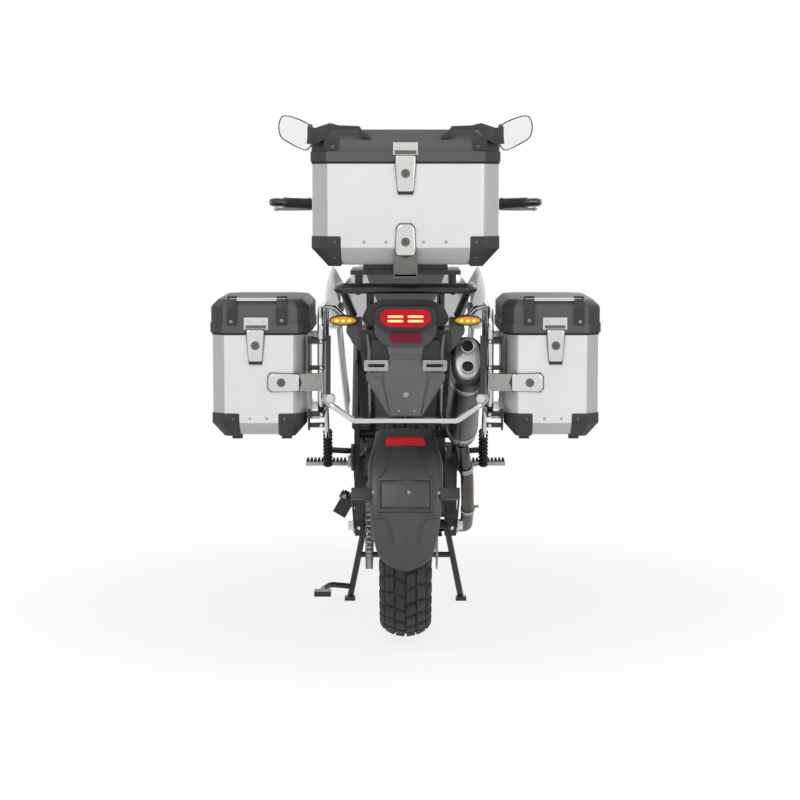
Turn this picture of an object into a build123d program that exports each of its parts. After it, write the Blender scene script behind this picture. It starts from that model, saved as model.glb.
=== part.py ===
"""Adventure motorcycle with three aluminium luggage cases, parked on its centre stand.

Millimetres. +Z is up, +Y is forward and +X is the rider's right.  Everything is laid out from
the rear axle's line (Y = 0) and the ground (Z = 0), and is moved to the middle of the machine's
length when it is written.  Each function makes one sub-part.
"""
import os
from math import atan2, ceil, cos, degrees, pi, radians, sin, sqrt, tan

from build123d import *

# ---- driving dimensions ---------------------------------------------------------------
WHEELBASE = 1525.0
REAR_LIFT = 20.0               # rear tyre above the ground on the centre stand
INCH = 25.4

REAR_TYRE = dict(width=150.0, radius=321.0, rim_radius=17 * INCH / 2)
FRONT_TYRE = dict(width=110.0, radius=329.0, rim_radius=19 * INCH / 2)
SPOKES = 32
SPOKE_RADIUS = 2.2
SPOKE_GAP = 0.3
HUB_RADIUS = 34.0

RAKE = 27.0                    # steering axis, degrees back from upright
TRAIL = 110.0
FORK_SPACING = 206.0           # between the centres of the fork legs
SLIDER_RADIUS = 29.0
STANCHION_RADIUS = 21.5
STEM_RADIUS = 17.0
RUNNING_FIT = 0.05             # radial clearance of a pin in its bore
HEAD_BOTTOM, HEAD_TOP = 985.0, 1150.0    # head tube, measured along the steering axis
HEAD_RADIUS = 30.0
YOKE_THICKNESS = 32.0
YOKE_GAP = 2.0

PIVOT_Y, PIVOT_Z = 610.0, 425.0          # swing arm pivot
ARM_INNER, ARM_OUTER = 120.0, 146.0      # swing arm beams, half widths
PLATE_THICKNESS = 16.0                   # pivot plates, outside the swing arm

CHAIN_PITCH = 15.875
CHAIN_LINKS = 120
CHAIN_X = -105.0
CHAIN_WIDTH = 20.0
REAR_TEETH, FRONT_TEETH = 48, 16

STAND_Y, STAND_Z = 600.0, 290.0          # centre stand pivot
STAND_FOOT_AHEAD = 45.0                  # feet past the pivot, over centre
STAND_HALF_TOP, STAND_HALF_FOOT = 134.0, 178.0
STAND_TUBE_RADIUS = 12.0

SIDE_STAND_Y, SIDE_STAND_Z, SIDE_STAND_X = 900.0, 300.0, -200.0
SIDE_STAND_LEAN = 30.0                   # outward slope of the opened leg
SIDE_STAND_LENGTH = 262.0
SIDE_STAND_SWING = 98.0         # degrees from folded to open
STAND_SWING = 80.0              # degrees from parked to folded

FRAME_TUBE_RADIUS = 17.0
SUBFRAME_TUBE_RADIUS = 12.0
RACK_TUBE_RADIUS = 9.0

CASE_WALL = 3.0
LID_WALL = 4.0
LID_OVERHANG = 4.0
HINGE_RADIUS = 6.0
HINGE_PIN_RADIUS = 2.5
SEAM_GAP = 0.4                           # lid above its case
SIDE_CASE = dict(inner=272.0, outer=528.0, back=-350.0, front=100.0, bottom=642.0,
                 seam=922.0, top=1022.0)
TOP_CASE = dict(half=250.0, back=-450.0, front=-40.0, bottom=1110.0, seam=1384.0, top=1470.0)

# ---- places worked out from them ------------------------------------------------------
REAR_AXLE_Z = REAR_TYRE["radius"] + REAR_LIFT
FRONT_AXLE_Z = FRONT_TYRE["radius"]
STEER_FOOT_Y = WHEELBASE + TRAIL
RAKE_SIN, RAKE_COS = sin(radians(RAKE)), cos(radians(RAKE))
AXLE_ALONG = TRAIL * RAKE_SIN + FRONT_AXLE_Z * RAKE_COS
AXLE_AHEAD = FRONT_AXLE_Z * RAKE_SIN - TRAIL * RAKE_COS
STEER_PLANE = Plane(origin=(0, STEER_FOOT_Y, 0), x_dir=(1, 0, 0), z_dir=(0, -RAKE_SIN, RAKE_COS))
CASE_LATCH_DEPTH = 14.0
FRONT_END = WHEELBASE + FRONT_TYRE["radius"]
REAR_END = TOP_CASE["back"] - CASE_LATCH_DEPTH
MIDDLE_Y = (FRONT_END + REAR_END) / 2
PLATE_INNER = ARM_OUTER
PLATE_OUTER = ARM_OUTER + PLATE_THICKNESS


# ---- shared shapes --------------------------------------------------------------------
def block(x0, x1, y0, y1, z0, z1):
    """Box between two opposite corners."""
    return Pos((x0 + x1) / 2, (y0 + y1) / 2, (z0 + z1) / 2) * Box(x1 - x0, y1 - y0, z1 - z0)


def mirrored(solid):
    return mirror(solid, about=Plane.YZ)


def both_sides(solid):
    return [solid, mirrored(solid)]


def rod(start, end, radius):
    """Round bar between two points."""
    start, end = Vector(*start), Vector(*end)
    base = Plane(origin=start, z_dir=end - start)
    return base * Cylinder(radius, (end - start).length, align=(Align.CENTER, Align.CENTER, Align.MIN))


def tube(points, radius, bend):
    """Round tube along straight runs joined by bends."""
    path = FilletPolyline(*points, radius=bend)
    start = Plane(origin=path @ 0, z_dir=path % 0)
    return sweep(start * Circle(radius), path=path)


def side_plate(outline, x0, x1):
    """Plate with a (y, z) outline between two x places."""
    face = Pos(x0, 0, 0) * (Plane.YZ * Polygon(*outline, align=None))
    return extrude(face, amount=x1 - x0, dir=(1, 0, 0))


def cross_plate(outline, y0, y1):
    """Plate with an (x, z) outline between two y places."""
    face = Pos(0, y0, 0) * (Plane.XZ * Polygon(*outline, align=None))
    return extrude(face, amount=y1 - y0, dir=(0, 1, 0))


def flat_plate(outline, z0, z1):
    """Plate with an (x, y) outline between two heights."""
    face = Pos(0, 0, z0) * Polygon(*outline, align=None)
    return extrude(face, amount=z1 - z0, dir=(0, 0, 1))


def mirrored_outline(half):
    """Closed outline from the points of its +x half."""
    return list(half) + [(-x, other) for x, other in reversed(half) if x > 0]


def section_loft(sections):
    """Straight-sided loft through (y, [(x, z) of the +x half]) sections."""
    faces = []
    for y, half in sections:
        faces.append(Pos(0, y, 0) * (Plane.XZ * Polygon(*mirrored_outline(half), align=None)))
    return loft(faces, ruled=True)


def turned(outline, y, z):
    """Ring about a wheel axle from an (x, radius) outline."""
    ring = revolve(Plane.XY * Polygon(*outline, align=None), axis=Axis.X)
    return Pos(0, y, z) * ring


def joined(solids):
    """One body from pieces that run into each other."""
    body = solids[0]
    for piece in solids[1:]:
        body = body + piece
    return body


def without(body, *tools):
    for tool in tools:
        body = body - tool
    return body


# ---- wheels ---------------------------------------------------------------------------
FLANGE_HEIGHT = 13.7
FLANGE_THICKNESS = 5.6


def tyre(size, y, z):
    half, top, seat = size["width"] / 2, size["radius"], size["rim_radius"] + 0.3
    bead = half - 21 if half > 60 else half - 19
    side = (top - seat)
    outline = [
        (-bead, seat), (-bead, seat + 15), (-half, seat + side * 0.45), (-half + 9, seat + side * 0.77),
        (-half * 0.32, top), (half * 0.32, top), (half - 9, seat + side * 0.77),
        (half, seat + side * 0.45), (bead, seat + 15), (bead, seat)]
    return turned(outline, y, z)


def spoked_rim(size, y, z, hub_half):
    """Rim, hub and crossed spokes; each spoke ends a hair short of what it is laced to."""
    half = size["width"] / 2
    bead = (half - 21 if half > 60 else half - 19) + 0.4
    seat = size["rim_radius"]
    outer = bead + FLANGE_THICKNESS
    well = seat - 24
    rim = turned([
        (-outer, seat + FLANGE_HEIGHT), (-bead, seat + FLANGE_HEIGHT), (-bead, seat), (bead, seat),
        (bead, seat + FLANGE_HEIGHT), (outer, seat + FLANGE_HEIGHT), (outer, seat - 7),
        (outer - 26, well), (26 - outer, well), (-outer, seat - 7)], y, z)
    bore, flange = AXLE_RADIUS + RUNNING_FIT, HUB_RADIUS + 14
    half_hub = [(hub_half, bore), (hub_half, HUB_RADIUS), (hub_half - 8, flange), (hub_half - 16, flange),
                (hub_half - 22, HUB_RADIUS)]
    hub = turned(half_hub + [(-x, r) for x, r in reversed(half_hub)], y, z)
    gap = SPOKE_GAP
    flange_room = [turned([(side * (hub_half - 17 - gap), 1), (side * (hub_half - 7 + gap), 1),
                           (side * (hub_half - 7 + gap), flange + gap),
                           (side * (hub_half - 17 - gap), flange + gap)], y, z) for side in (-1, 1)]
    core_room = turned([(-hub_half, 1), (hub_half, 1), (hub_half, HUB_RADIUS + gap + 1),
                        (-hub_half, HUB_RADIUS + gap + 1)], y, z)
    rim_room = turned([(-outer, well - gap), (outer, well - gap), (outer, seat), (-outer, seat)], y, z)
    pairs = SPOKES // 4
    spokes = []
    for side in (-1, 1):
        for index in range(pairs):
            for lean in (-1, 1):
                head = radians(360 / pairs * (index + (0.25 if side > 0 else 0)) + lean * 360 / SPOKES / 2)
                foot = head - radians(lean * 42)
                spoke = rod(
                    (side * (hub_half - 12), y + flange * cos(foot), z + flange * sin(foot)),
                    (side * (outer - 30), y + (well + 6) * cos(head), z + (well + 6) * sin(head)), SPOKE_RADIUS)
                spokes.append(without(spoke, core_room, rim_room, *flange_room))
    return [rim, hub] + spokes


AXLE_RADIUS = 10.0
REAR_HUB_HALF = 88.0
FRONT_HUB_HALF = 62.0


def disc_ring(inner, outer, x, thickness, y, z, carrier):
    """Brake disc with its carrier down to the hub."""
    ring = turned([(x - thickness / 2, inner), (x + thickness / 2, inner),
                   (x + thickness / 2, outer), (x - thickness / 2, outer)], y, z)
    plate = turned([(x - thickness / 2, carrier), (x + thickness / 2, carrier),
                    (x + thickness / 2, carrier + 16), (x - thickness / 2, carrier + 16)], y, z)
    arms = []
    for index in range(6):
        a = radians(60 * index + 15)
        reach = (carrier + inner) / 2 + 6
        arm = Pos(x, y, z) * Rot(degrees(a), 0, 0) * Pos(0, reach, 0) * Box(
            thickness, inner - carrier + 2, 18)
        arms.append(arm)
    return joined([ring, plate] + arms)


def front_discs():
    x = FRONT_HUB_HALF + 2.5
    one = disc_ring(122, 153, x, 5, WHEELBASE, FRONT_AXLE_Z, AXLE_RADIUS + 6)
    return both_sides(one)


def rear_disc():
    return [disc_ring(100, 127, REAR_HUB_HALF + 2.5, 5, 0, REAR_AXLE_Z, AXLE_RADIUS + 6)]


# ---- chain drive ----------------------------------------------------------------------
REAR_PITCH_RADIUS = CHAIN_PITCH / 2 / sin(pi / REAR_TEETH)
FRONT_PITCH_RADIUS = CHAIN_PITCH / 2 / sin(pi / FRONT_TEETH)


def chain_centres():
    """Distance between sprocket centres that the link count gives."""
    length = CHAIN_LINKS * CHAIN_PITCH
    difference = REAR_PITCH_RADIUS - FRONT_PITCH_RADIUS
    distance = length / 2 - pi * (REAR_PITCH_RADIUS + FRONT_PITCH_RADIUS) / 2
    for _ in range(20):
        wrap = pi * (REAR_PITCH_RADIUS + FRONT_PITCH_RADIUS) + difference ** 2 / distance
        distance = (length - wrap) / 2
    return distance


CHAIN_CENTRES = chain_centres()
CHAIN_RISE = 72.0              # output shaft above the rear axle
SHAFT_Y = sqrt(CHAIN_CENTRES ** 2 - CHAIN_RISE ** 2)
SHAFT_Z = REAR_AXLE_Z + CHAIN_RISE


def belt(extra, x0, x1):
    """Solid inside the chain line, moved outwards by extra."""
    rear = Pos(0, REAR_AXLE_Z) * Circle(REAR_PITCH_RADIUS + extra)
    front = Pos(SHAFT_Y, SHAFT_Z) * Circle(FRONT_PITCH_RADIUS + extra)
    face = make_hull((rear + front).edges())
    return extrude(Pos(x0, 0, 0) * (Plane.YZ * face), amount=x1 - x0, dir=(1, 0, 0))


def drive_chain():
    """Chain as one loop of side plates, open on its inside for the sprocket teeth."""
    half = CHAIN_WIDTH / 2
    x0, x1 = CHAIN_X - half, CHAIN_X + half
    loop = belt(7.5, x0, x1) - belt(-7.5, x0 - 1, x1 + 1)
    slot = belt(3.0, CHAIN_X - 4.8, CHAIN_X + 4.8)
    return [loop - slot]


def sprocket(teeth, pitch_radius, y, z, thickness, bore):
    disc = turned([(CHAIN_X - thickness / 2, bore), (CHAIN_X + thickness / 2, bore),
                   (CHAIN_X + thickness / 2, pitch_radius - 1.5),
                   (CHAIN_X - thickness / 2, pitch_radius - 1.5)], y, z)
    return disc


def rear_sprocket():
    """Sprocket with five windows, on a carrier beside the hub."""
    body = sprocket(REAR_TEETH, REAR_PITCH_RADIUS, 0, REAR_AXLE_Z, 7, AXLE_RADIUS + 6)
    for index in range(5):
        window = Rot(72 * index, 0, 0) * Pos(CHAIN_X, 76, 0) * Rot(0, 90, 0) * Cylinder(20, 12)
        body = body - Pos(0, 0, REAR_AXLE_Z) * window
    carrier = turned([(CHAIN_X + 3.5, AXLE_RADIUS + 6), (-REAR_HUB_HALF, AXLE_RADIUS + 6),
                      (-REAR_HUB_HALF, 44), (CHAIN_X + 3.5, 44)], 0, REAR_AXLE_Z)
    return [body + carrier]


def front_sprocket_piece():
    return sprocket(FRONT_TEETH, FRONT_PITCH_RADIUS, SHAFT_Y, SHAFT_Z, 7, 0.01)


# ---- swing arm, shock ------------------------------------------------------------------
ARM_END_Y = -45.0
REAR_AXLE_END = ARM_OUTER + 12


def swing_arm():
    """Two tapered beams, their cross beam and pivot tube, with the rear axle in their ends."""
    outline = [
        (PIVOT_Y + 36, PIVOT_Z + 26), (PIVOT_Y - 60, PIVOT_Z + 44), (30, REAR_AXLE_Z + 30),
        (ARM_END_Y, REAR_AXLE_Z + 24), (ARM_END_Y, REAR_AXLE_Z - 24), (30, REAR_AXLE_Z - 28),
        (PIVOT_Y - 60, PIVOT_Z - 40), (PIVOT_Y + 36, PIVOT_Z - 26)]
    beam = side_plate(outline, ARM_INNER, ARM_OUTER)
    cross = side_plate([
        (PIVOT_Y - 130, PIVOT_Z - 36), (PIVOT_Y - 130, PIVOT_Z + 12),
        (PIVOT_Y - 40, PIVOT_Z + 12), (PIVOT_Y - 40, PIVOT_Z - 36)], -ARM_INNER, ARM_INNER)
    pivot = rod((-ARM_OUTER, PIVOT_Y, PIVOT_Z), (ARM_OUTER, PIVOT_Y, PIVOT_Z), 20)
    axle = rod((-REAR_AXLE_END, 0, REAR_AXLE_Z), (REAR_AXLE_END, 0, REAR_AXLE_Z), AXLE_RADIUS)
    return [joined(both_sides(beam) + [cross, pivot, axle])]


# ---- frame ------------------------------------------------------------------------------
def steer_point(x, ahead, along):
    """World point from the steering axis: x, distance ahead of the axis and along it."""
    return (x, STEER_FOOT_Y - along * RAKE_SIN + ahead * RAKE_COS, along * RAKE_COS + ahead * RAKE_SIN)


SPAR_X = 150.0


def pivot_plate_outline():
    return [
        (PIVOT_Y - 42, PIVOT_Z - 60), (STAND_Y - 26, STAND_Z - 26), (STAND_Y + 30, STAND_Z - 26),
        (PIVOT_Y + 70, PIVOT_Z - 60), (PIVOT_Y + 76, PIVOT_Z + 80), (PIVOT_Y + 20, PIVOT_Z + 150),
        (PIVOT_Y - 30, PIVOT_Z + 150), (PIVOT_Y - 46, PIVOT_Z + 60)]


def main_frame():
    """Head tube, twin spars, down tubes and pivot plates."""
    head = STEER_PLANE * Pos(0, 0, (HEAD_BOTTOM + HEAD_TOP) / 2) * Cylinder(
        HEAD_RADIUS, HEAD_TOP - HEAD_BOTTOM)
    spar_top = steer_point(24, -8, HEAD_TOP - 40)
    spar = tube([spar_top, (120, 1010, 905), (SPAR_X + 4, 860, 815), (SPAR_X + 4, 625, 560)],
                FRAME_TUBE_RADIUS, 60)
    down_top = steer_point(14, -8, HEAD_BOTTOM + 26)
    down = tube([down_top, (136, 1045, 800), (SPAR_X - 2, 930, 700)], 14, 40)
    brace = rod((SPAR_X + 4, 800, 752), (SPAR_X + 4, 700, 836), 10)
    plate = side_plate(pivot_plate_outline(), PLATE_INNER, PLATE_OUTER)
    stand_pin = rod((PLATE_INNER - 22, STAND_Y, STAND_Z), (PLATE_OUTER + 6, STAND_Y, STAND_Z), STAND_PIN_RADIUS)
    frame = joined([head] + both_sides(spar) + both_sides(down) + both_sides(plate)
                   + both_sides(brace) + both_sides(stand_pin)
                   + [rod((-SPAR_X, PIVOT_Y + 44, PIVOT_Z + 110), (SPAR_X, PIVOT_Y + 44, PIVOT_Z + 110), 14)])
    bore = STEER_PLANE * Pos(0, 0, (HEAD_BOTTOM + HEAD_TOP) / 2) * Cylinder(
        STEM_RADIUS + RUNNING_FIT, HEAD_TOP - HEAD_BOTTOM + 100)
    return [frame - bore]


STAND_PIN_RADIUS = 8.0
SEAT_RAIL_X = 98.0
SEAT_RAIL_Z_FRONT, SEAT_RAIL_Z_REAR = 812.0, 905.0
TAIL_Y = -300.0


def rail_centre(y):
    """Height of the seat rails' centre line on their rear run."""
    slope = (SEAT_RAIL_Z_REAR - SEAT_RAIL_Z_FRONT - 6) / (380 - TAIL_Y)
    return SEAT_RAIL_Z_FRONT + 6 + slope * (380 - y)


def subframe():
    """Seat rails, lower stays and their cross tubes, welded behind the spars."""
    top = tube([(SPAR_X - 8, 832, 788), (SEAT_RAIL_X, 720, 806),
                (SEAT_RAIL_X, 380, SEAT_RAIL_Z_FRONT + 6), (SEAT_RAIL_X, TAIL_Y, SEAT_RAIL_Z_REAR)],
               SUBFRAME_TUBE_RADIUS, 50)
    stay = tube([(SEAT_RAIL_X + 6, PIVOT_Y - 6, PIVOT_Z + 132), (SEAT_RAIL_X + 4, 300, 720),
                 (SEAT_RAIL_X, TAIL_Y + 60, SEAT_RAIL_Z_REAR - 12)], 10, 60)
    crosses = []
    for y in (372, 60, TAIL_Y + 18):
        crosses.append(rod((-SEAT_RAIL_X, y, rail_centre(y)), (SEAT_RAIL_X, y, rail_centre(y)), 9))
    foot = rod((SEAT_RAIL_X, PIVOT_Y - 6, PIVOT_Z + 132), (PLATE_INNER, PIVOT_Y - 6, PIVOT_Z + 132), 11)
    body = joined(both_sides(top) + both_sides(stay) + crosses + both_sides(foot))
    return [without(body, *spar_clearance())]


# ---- engine -----------------------------------------------------------------------------
CRANKCASE_X = 128.0


def engine_body():
    """Crankcase, leaning cylinder block, head and side covers as one closed block."""
    case = side_plate([
        (690, 300), (720, 256), (960, 256), (1010, 300), (1010, 440), (960, 500),
        (720, 520), (690, 480)], -92, CRANKCASE_X)
    case = case + side_plate([
        (760, 300), (780, 256), (960, 256), (1010, 300), (1010, 440), (960, 500),
        (800, 520), (760, 480)], -CRANKCASE_X, CRANKCASE_X)
    cylinder = side_plate([(800, 500), (970, 500), (1010, 640), (850, 660)], -118, 118)
    head = side_plate([(846, 655), (1012, 635), (1024, 690), (1000, 738), (890, 752), (862, 720)], -126, 126)
    right_cover = Pos(CRANKCASE_X + 10, 880, 390) * Rot(0, 90, 0) * Cylinder(92, 22)
    left_cover = Pos(-CRANKCASE_X - 10, 900, 390) * Rot(0, 90, 0) * Cylinder(86, 22)
    shaft = rod((-91, SHAFT_Y, SHAFT_Z), (CHAIN_X - 3.5, SHAFT_Y, SHAFT_Z), 14)
    return joined([case, cylinder, head, right_cover, left_cover, shaft, front_sprocket_piece()])


def radiator():
    core = block(-150, 150, 1072, 1106, 500, 700)
    return [core]


EXHAUST_RADIUS = 20.0
COLLECTOR_RADIUS = 24.0


def exhaust_header():
    """Two primaries, the collector under the engine and the link pipe up to the silencer."""
    pipes = []
    for x in (-48, 48):
        pipes.append(tube([(x, 1010, 668), (x, 1046, 640), (x, 1046, 300), (x * 0.6, 1000, 226), (0, 900, 226)],
                          EXHAUST_RADIUS - 3, 30))
    link = tube([(0, 930, 226), (0, 860, 226), (120, 740, 226), (194, 650, 240), (196, 540, 310),
                 (190, 400, 430), (168, 262, 552)], COLLECTOR_RADIUS - 4, 45)
    return [without(joined(pipes + [link]), engine_body(), *muffler())]


MUFFLER_REAR = (170.0, -300.0, 845.0)
MUFFLER_FRONT = (165.0, 250.0, 575.0)
MUFFLER_WIDTH, MUFFLER_HEIGHT = 92.0, 150.0


def muffler():
    """Oval silencer with a raised end plate and two outlets."""
    rear, front = Vector(*MUFFLER_REAR), Vector(*MUFFLER_FRONT)
    base = Plane(origin=rear, x_dir=(1, 0, 0), z_dir=front - rear)
    length = (front - rear).length
    oval = SlotOverall(MUFFLER_HEIGHT, MUFFLER_WIDTH, rotation=90)
    can = extrude(base * oval, amount=length - 90)
    cone = loft([base * Pos(0, 0, length - 90) * SlotOverall(MUFFLER_HEIGHT, MUFFLER_WIDTH, rotation=90),
                 base * Pos(0, 0, length) * SlotOverall(60, 52, rotation=90)], ruled=True)
    plate = extrude(base * SlotOverall(MUFFLER_HEIGHT - 40, MUFFLER_WIDTH - 30, rotation=90), amount=-8)
    outlets = [base * Pos(0, side * 27, -14) * Cylinder(16, 30) for side in (-1, 1)]
    holes = [base * Pos(0, side * 27, -10) * Cylinder(12, 60) for side in (-1, 1)]
    body = can + cone + plate + outlets
    return [without(body, *holes)]


# ---- bodywork ---------------------------------------------------------------------------
SEAT_GAP = 0.4                 # soft or moulded piece above what carries it


def spar_clearance():
    """The spars and down tubes a little thicker, cut from what sits on them."""
    room = FRAME_TUBE_RADIUS + SEAT_GAP
    spar = tube([(150, 1100, 905 + 54), (120, 1010, 905), (SPAR_X + 4, 860, 815), (SPAR_X + 4, 625, 560)],
                room, 60)
    return both_sides(spar)


STEER_SWEEP = 150.0            # clear radius round the steering axis for the turning yokes
FAIRING_SWEEP = 170.0


def steering_room(radius):
    """Round space about the steering axis that the yokes and fork legs turn in."""
    return STEER_PLANE * Pos(0, 0, 1050) * Cylinder(radius, 900)


def fuel_tank():
    """Tank straddling the spars, wide at the knees' front and narrow at the seat."""
    shell = section_loft([
        (1062, [(70, 968), (120, 972), (158, 1000), (104, 1060)]),
        (950, [(112, 906), (172, 912), (204, 990), (118, 1096)]),
        (820, [(112, 872), (176, 880), (196, 950), (108, 1072)]),
        (702, [(84, 840), (112, 846), (122, 900), (80, 958)])])
    lower = section_loft([
        (1000, [(60, 900), (84, 900), (90, 960)]),
        (735, [(60, 842), (90, 842), (98, 940)])])
    return [without(shell + lower, *spar_clearance(), steering_room(STEER_SWEEP))]


def rail_height(y):
    """Top of the seat rails."""
    return rail_centre(y) + SUBFRAME_TUBE_RADIUS * 1.02


def rider_seat():
    base = rail_height(380) + SEAT_GAP
    seat = section_loft([
        (698, [(70, base + 12), (88, base + 30), (72, base + 66)]),
        (600, [(110, base), (140, base + 16), (110, base + 42)]),
        (470, [(128, base), (168, base + 14), (140, base + 44)]),
        (372, [(128, base + 1), (160, base + 18), (136, base + 66)])])
    return [seat]


def pillion_seat():
    sections = []
    for y, rise, wide in ((369, 66, 128), (300, 72, 138), (120, 60, 132), (24, 50, 108)):
        low = rail_height(y) + SEAT_GAP
        sections.append((y, [(wide - 24, low), (wide, low + 14), (wide - 22, low + rise)]))
    return [section_loft(sections)]


def tail_cowl():
    """Side panels outside the seat rails, joined behind them under the lamp."""
    inner = SEAT_RAIL_X + SUBFRAME_TUBE_RADIUS + SEAT_GAP
    side = side_plate([
        (360, rail_height(360) - 1), (340, 760), (120, 790), (-335, 872), (-345, 900), (-335, 926),
        (0, rail_height(0) - 1)], inner, inner + 12)
    bridge = cross_plate(mirrored_outline([(inner + 12, 872), (inner + 12, 930)]), -345, -318)
    return [joined(both_sides(side) + [bridge])]


LAMP_HALF = 86.0


def tail_lamp():
    lamp = cross_plate(mirrored_outline([(60, 930.4), (LAMP_HALF, 956), (LAMP_HALF - 18, 998)]), -398, -330)
    return [lamp]


HOLDER_Y = -372.0
SLOT_LENGTH, SLOT_HEIGHT, SLOT_SPACING = 47.0, 9.0, 159.0
SLOT_Z = 836.0


def plate_holder():
    """Folded holder under the lamp, with two slotted brackets for a number plate."""
    panel = cross_plate(mirrored_outline([
        (47, 695), (106, 800), (104, 818), (64, 880), (56, 930)]), HOLDER_Y, HOLDER_Y + 6)
    hanger = block(-50, 50, HOLDER_Y + 6, -345, 876, 926)
    brackets = []
    for side in (-1, 1):
        bracket = block(side * SLOT_SPACING / 2 - 33, side * SLOT_SPACING / 2 + 33,
                        HOLDER_Y - 3, HOLDER_Y, SLOT_Z - 15, SLOT_Z + 15)
        slot = Pos(side * SLOT_SPACING / 2, HOLDER_Y, SLOT_Z) * extrude(
            Plane.XZ * SlotOverall(SLOT_LENGTH, SLOT_HEIGHT), amount=30, both=True)
        bracket = bracket - slot
        panel = panel - slot
        brackets.append(bracket)
    return [joined([panel, hanger] + brackets)]


def turn_signals():
    """Rear indicators on short stalks, with the front pair beside the headlamp."""
    inner = SEAT_RAIL_X + SUBFRAME_TUBE_RADIUS + SEAT_GAP + 12
    rear = block(inner + 8, 204, -352, -322, 948, 970) + block(inner, inner + 14, -342, -326, 915, 960)
    return both_sides(rear)


def hugger():
    """Close mudguard round the back of the rear tyre, with stays to the swing arm."""
    shell = turned([(-96, 336), (96, 336), (96, 341), (-96, 341)], 0, 0)
    lips = turned([(96, 322), (100, 322), (100, 341), (96, 341)], 0, 0)
    ring = shell + lips + mirrored(lips)
    low, high = radians(180 + 13), radians(180 - 62)
    far = 700
    wedge = side_plate([(0, 0), (far * cos(high), far * sin(high)), (-far * 1.2, 0),
                        (far * cos(low), far * sin(low))], -130, 130)
    shell = Pos(0, 0, REAR_AXLE_Z) * (ring & wedge)
    stay = side_plate([(-20, REAR_AXLE_Z - 10), (-20, REAR_AXLE_Z + 14), (-330, REAR_AXLE_Z + 70),
                       (-330, REAR_AXLE_Z + 44)], ARM_OUTER, ARM_OUTER + 4)
    end = side_plate([(-322, REAR_AXLE_Z + 44), (-322, REAR_AXLE_Z + 68), (-330, REAR_AXLE_Z + 70),
                      (-330, REAR_AXLE_Z + 44)], 99, ARM_OUTER + 4)
    return [joined([shell] + both_sides(stay) + both_sides(end))]


def chain_guard():
    top = side_plate([(560, 480), (90, 489), (30, 478), (28, 481), (88, 493), (560, 485)], -122, -90)
    skirt = side_plate([(330, 430), (300, 424), (270, 492), (360, 492)], -122, -120)
    return [without(joined([top, skirt]), *both_sides(block(ARM_INNER, 200, 0, 600, 300, 470)))]


def front_fairing():
    """Beak and lamp surround, carried by a stay from the head tube."""
    beak = section_loft([
        (1300, [(60, 930), (130, 950), (150, 1030), (90, 1100)]),
        (1400, [(60, 915), (140, 935), (140, 1060), (90, 1120)]),
        (1500, [(40, 915), (92, 925), (80, 965), (40, 985)]),
        (1640, [(12, 912), (26, 916), (24, 926), (12, 932)])])
    pocket = cross_plate(mirrored_outline([(84, 985), (96, 1080)]), 1392, 1700)
    stay = rod(steer_point(0, HEAD_RADIUS + 0.0, 1066), (0, 1300, 1032), 14)
    stay = stay - STEER_PLANE * Pos(0, 0, 1066) * Cylinder(HEAD_RADIUS, 120)
    return [joined([without(beak, pocket, steering_room(FAIRING_SWEEP)), stay])]


def headlamp():
    return [cross_plate(mirrored_outline([(70, 986), (82, 1000), (92, 1078)]), 1392, 1440)]


def screen_section(z, nose, half, thickness):
    """Bowed band, seen from above, at one height."""
    front = [(0.001, nose), (half * 0.6, nose - half * 0.14), (half, nose - half * 0.42)]
    back = [(x, y - thickness) for x, y in reversed(front)]
    outline = front + back
    outline = outline + [(-x, y) for x, y in reversed(outline)]
    return outline


def windscreen():
    """Bowed clear screen leaning back over the instruments."""
    low = [(150, 1310), (90, 1352), (-90, 1352), (-150, 1310), (-150, 1304), (-90, 1346), (90, 1346), (150, 1304)]
    high = [(118, 1166), (70, 1192), (-70, 1192), (-118, 1166), (-118, 1160), (-70, 1186), (70, 1186), (118, 1160)]
    faces = [Pos(0, 0, 1096) * Polygon(*low, align=None), Pos(0, 0, 1476) * Polygon(*high, align=None)]
    return [without(loft(faces, ruled=True), *front_fairing())]


def instrument_panel():
    panel = Pos(0, 1218, 1190) * Rot(-55, 0, 0) * Box(170, 96, 26)
    arm = rod((0, 1228, 1176), (0, 1316, 1092), 9)
    return [without(panel + arm, *front_fairing())]


# ---- steering ---------------------------------------------------------------------------
def steer_piece(solid):
    return STEER_PLANE * solid


def fork_yokes():
    """Stem with the two yokes that clamp the fork legs."""
    half = FORK_SPACING / 2
    outline = [(half + 34, 20), (half + 34, AXLE_AHEAD + 30), (half - 30, AXLE_AHEAD + 34), (40, 34)]
    outline = outline + [(-x, y) for x, y in reversed(outline)]
    outline = outline + [(-half - 34, 20), (-36, -30), (36, -30)]
    low, high = HEAD_BOTTOM - YOKE_GAP - YOKE_THICKNESS, HEAD_TOP + YOKE_GAP
    pieces = []
    for bottom in (low, high):
        yoke = flat_plate([(36, -34), (half + 34, AXLE_AHEAD - 32), (half + 34, AXLE_AHEAD + 30),
                           (half - 30, AXLE_AHEAD + 32), (-half + 30, AXLE_AHEAD + 32),
                           (-half - 34, AXLE_AHEAD + 30), (-half - 34, AXLE_AHEAD - 32), (-36, -34)],
                          bottom, bottom + YOKE_THICKNESS)
        for side in (-1, 1):
            yoke = yoke - Pos(side * half, AXLE_AHEAD, bottom) * Cylinder(STANCHION_RADIUS + 0.02, 200)
        pieces.append(yoke)
    stem = Pos(0, 0, (low + high) / 2 + YOKE_THICKNESS / 2) * Cylinder(STEM_RADIUS, high - low + YOKE_THICKNESS)
    risers = [Pos(side * 52, 30, high + YOKE_THICKNESS + 34) * Cylinder(15, 68) for side in (-1, 1)]
    return [steer_piece(joined(pieces + [stem] + risers))]


BAR_AHEAD, BAR_ALONG = 30.0, HEAD_TOP + YOKE_GAP + YOKE_THICKNESS + 68 + 11


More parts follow.
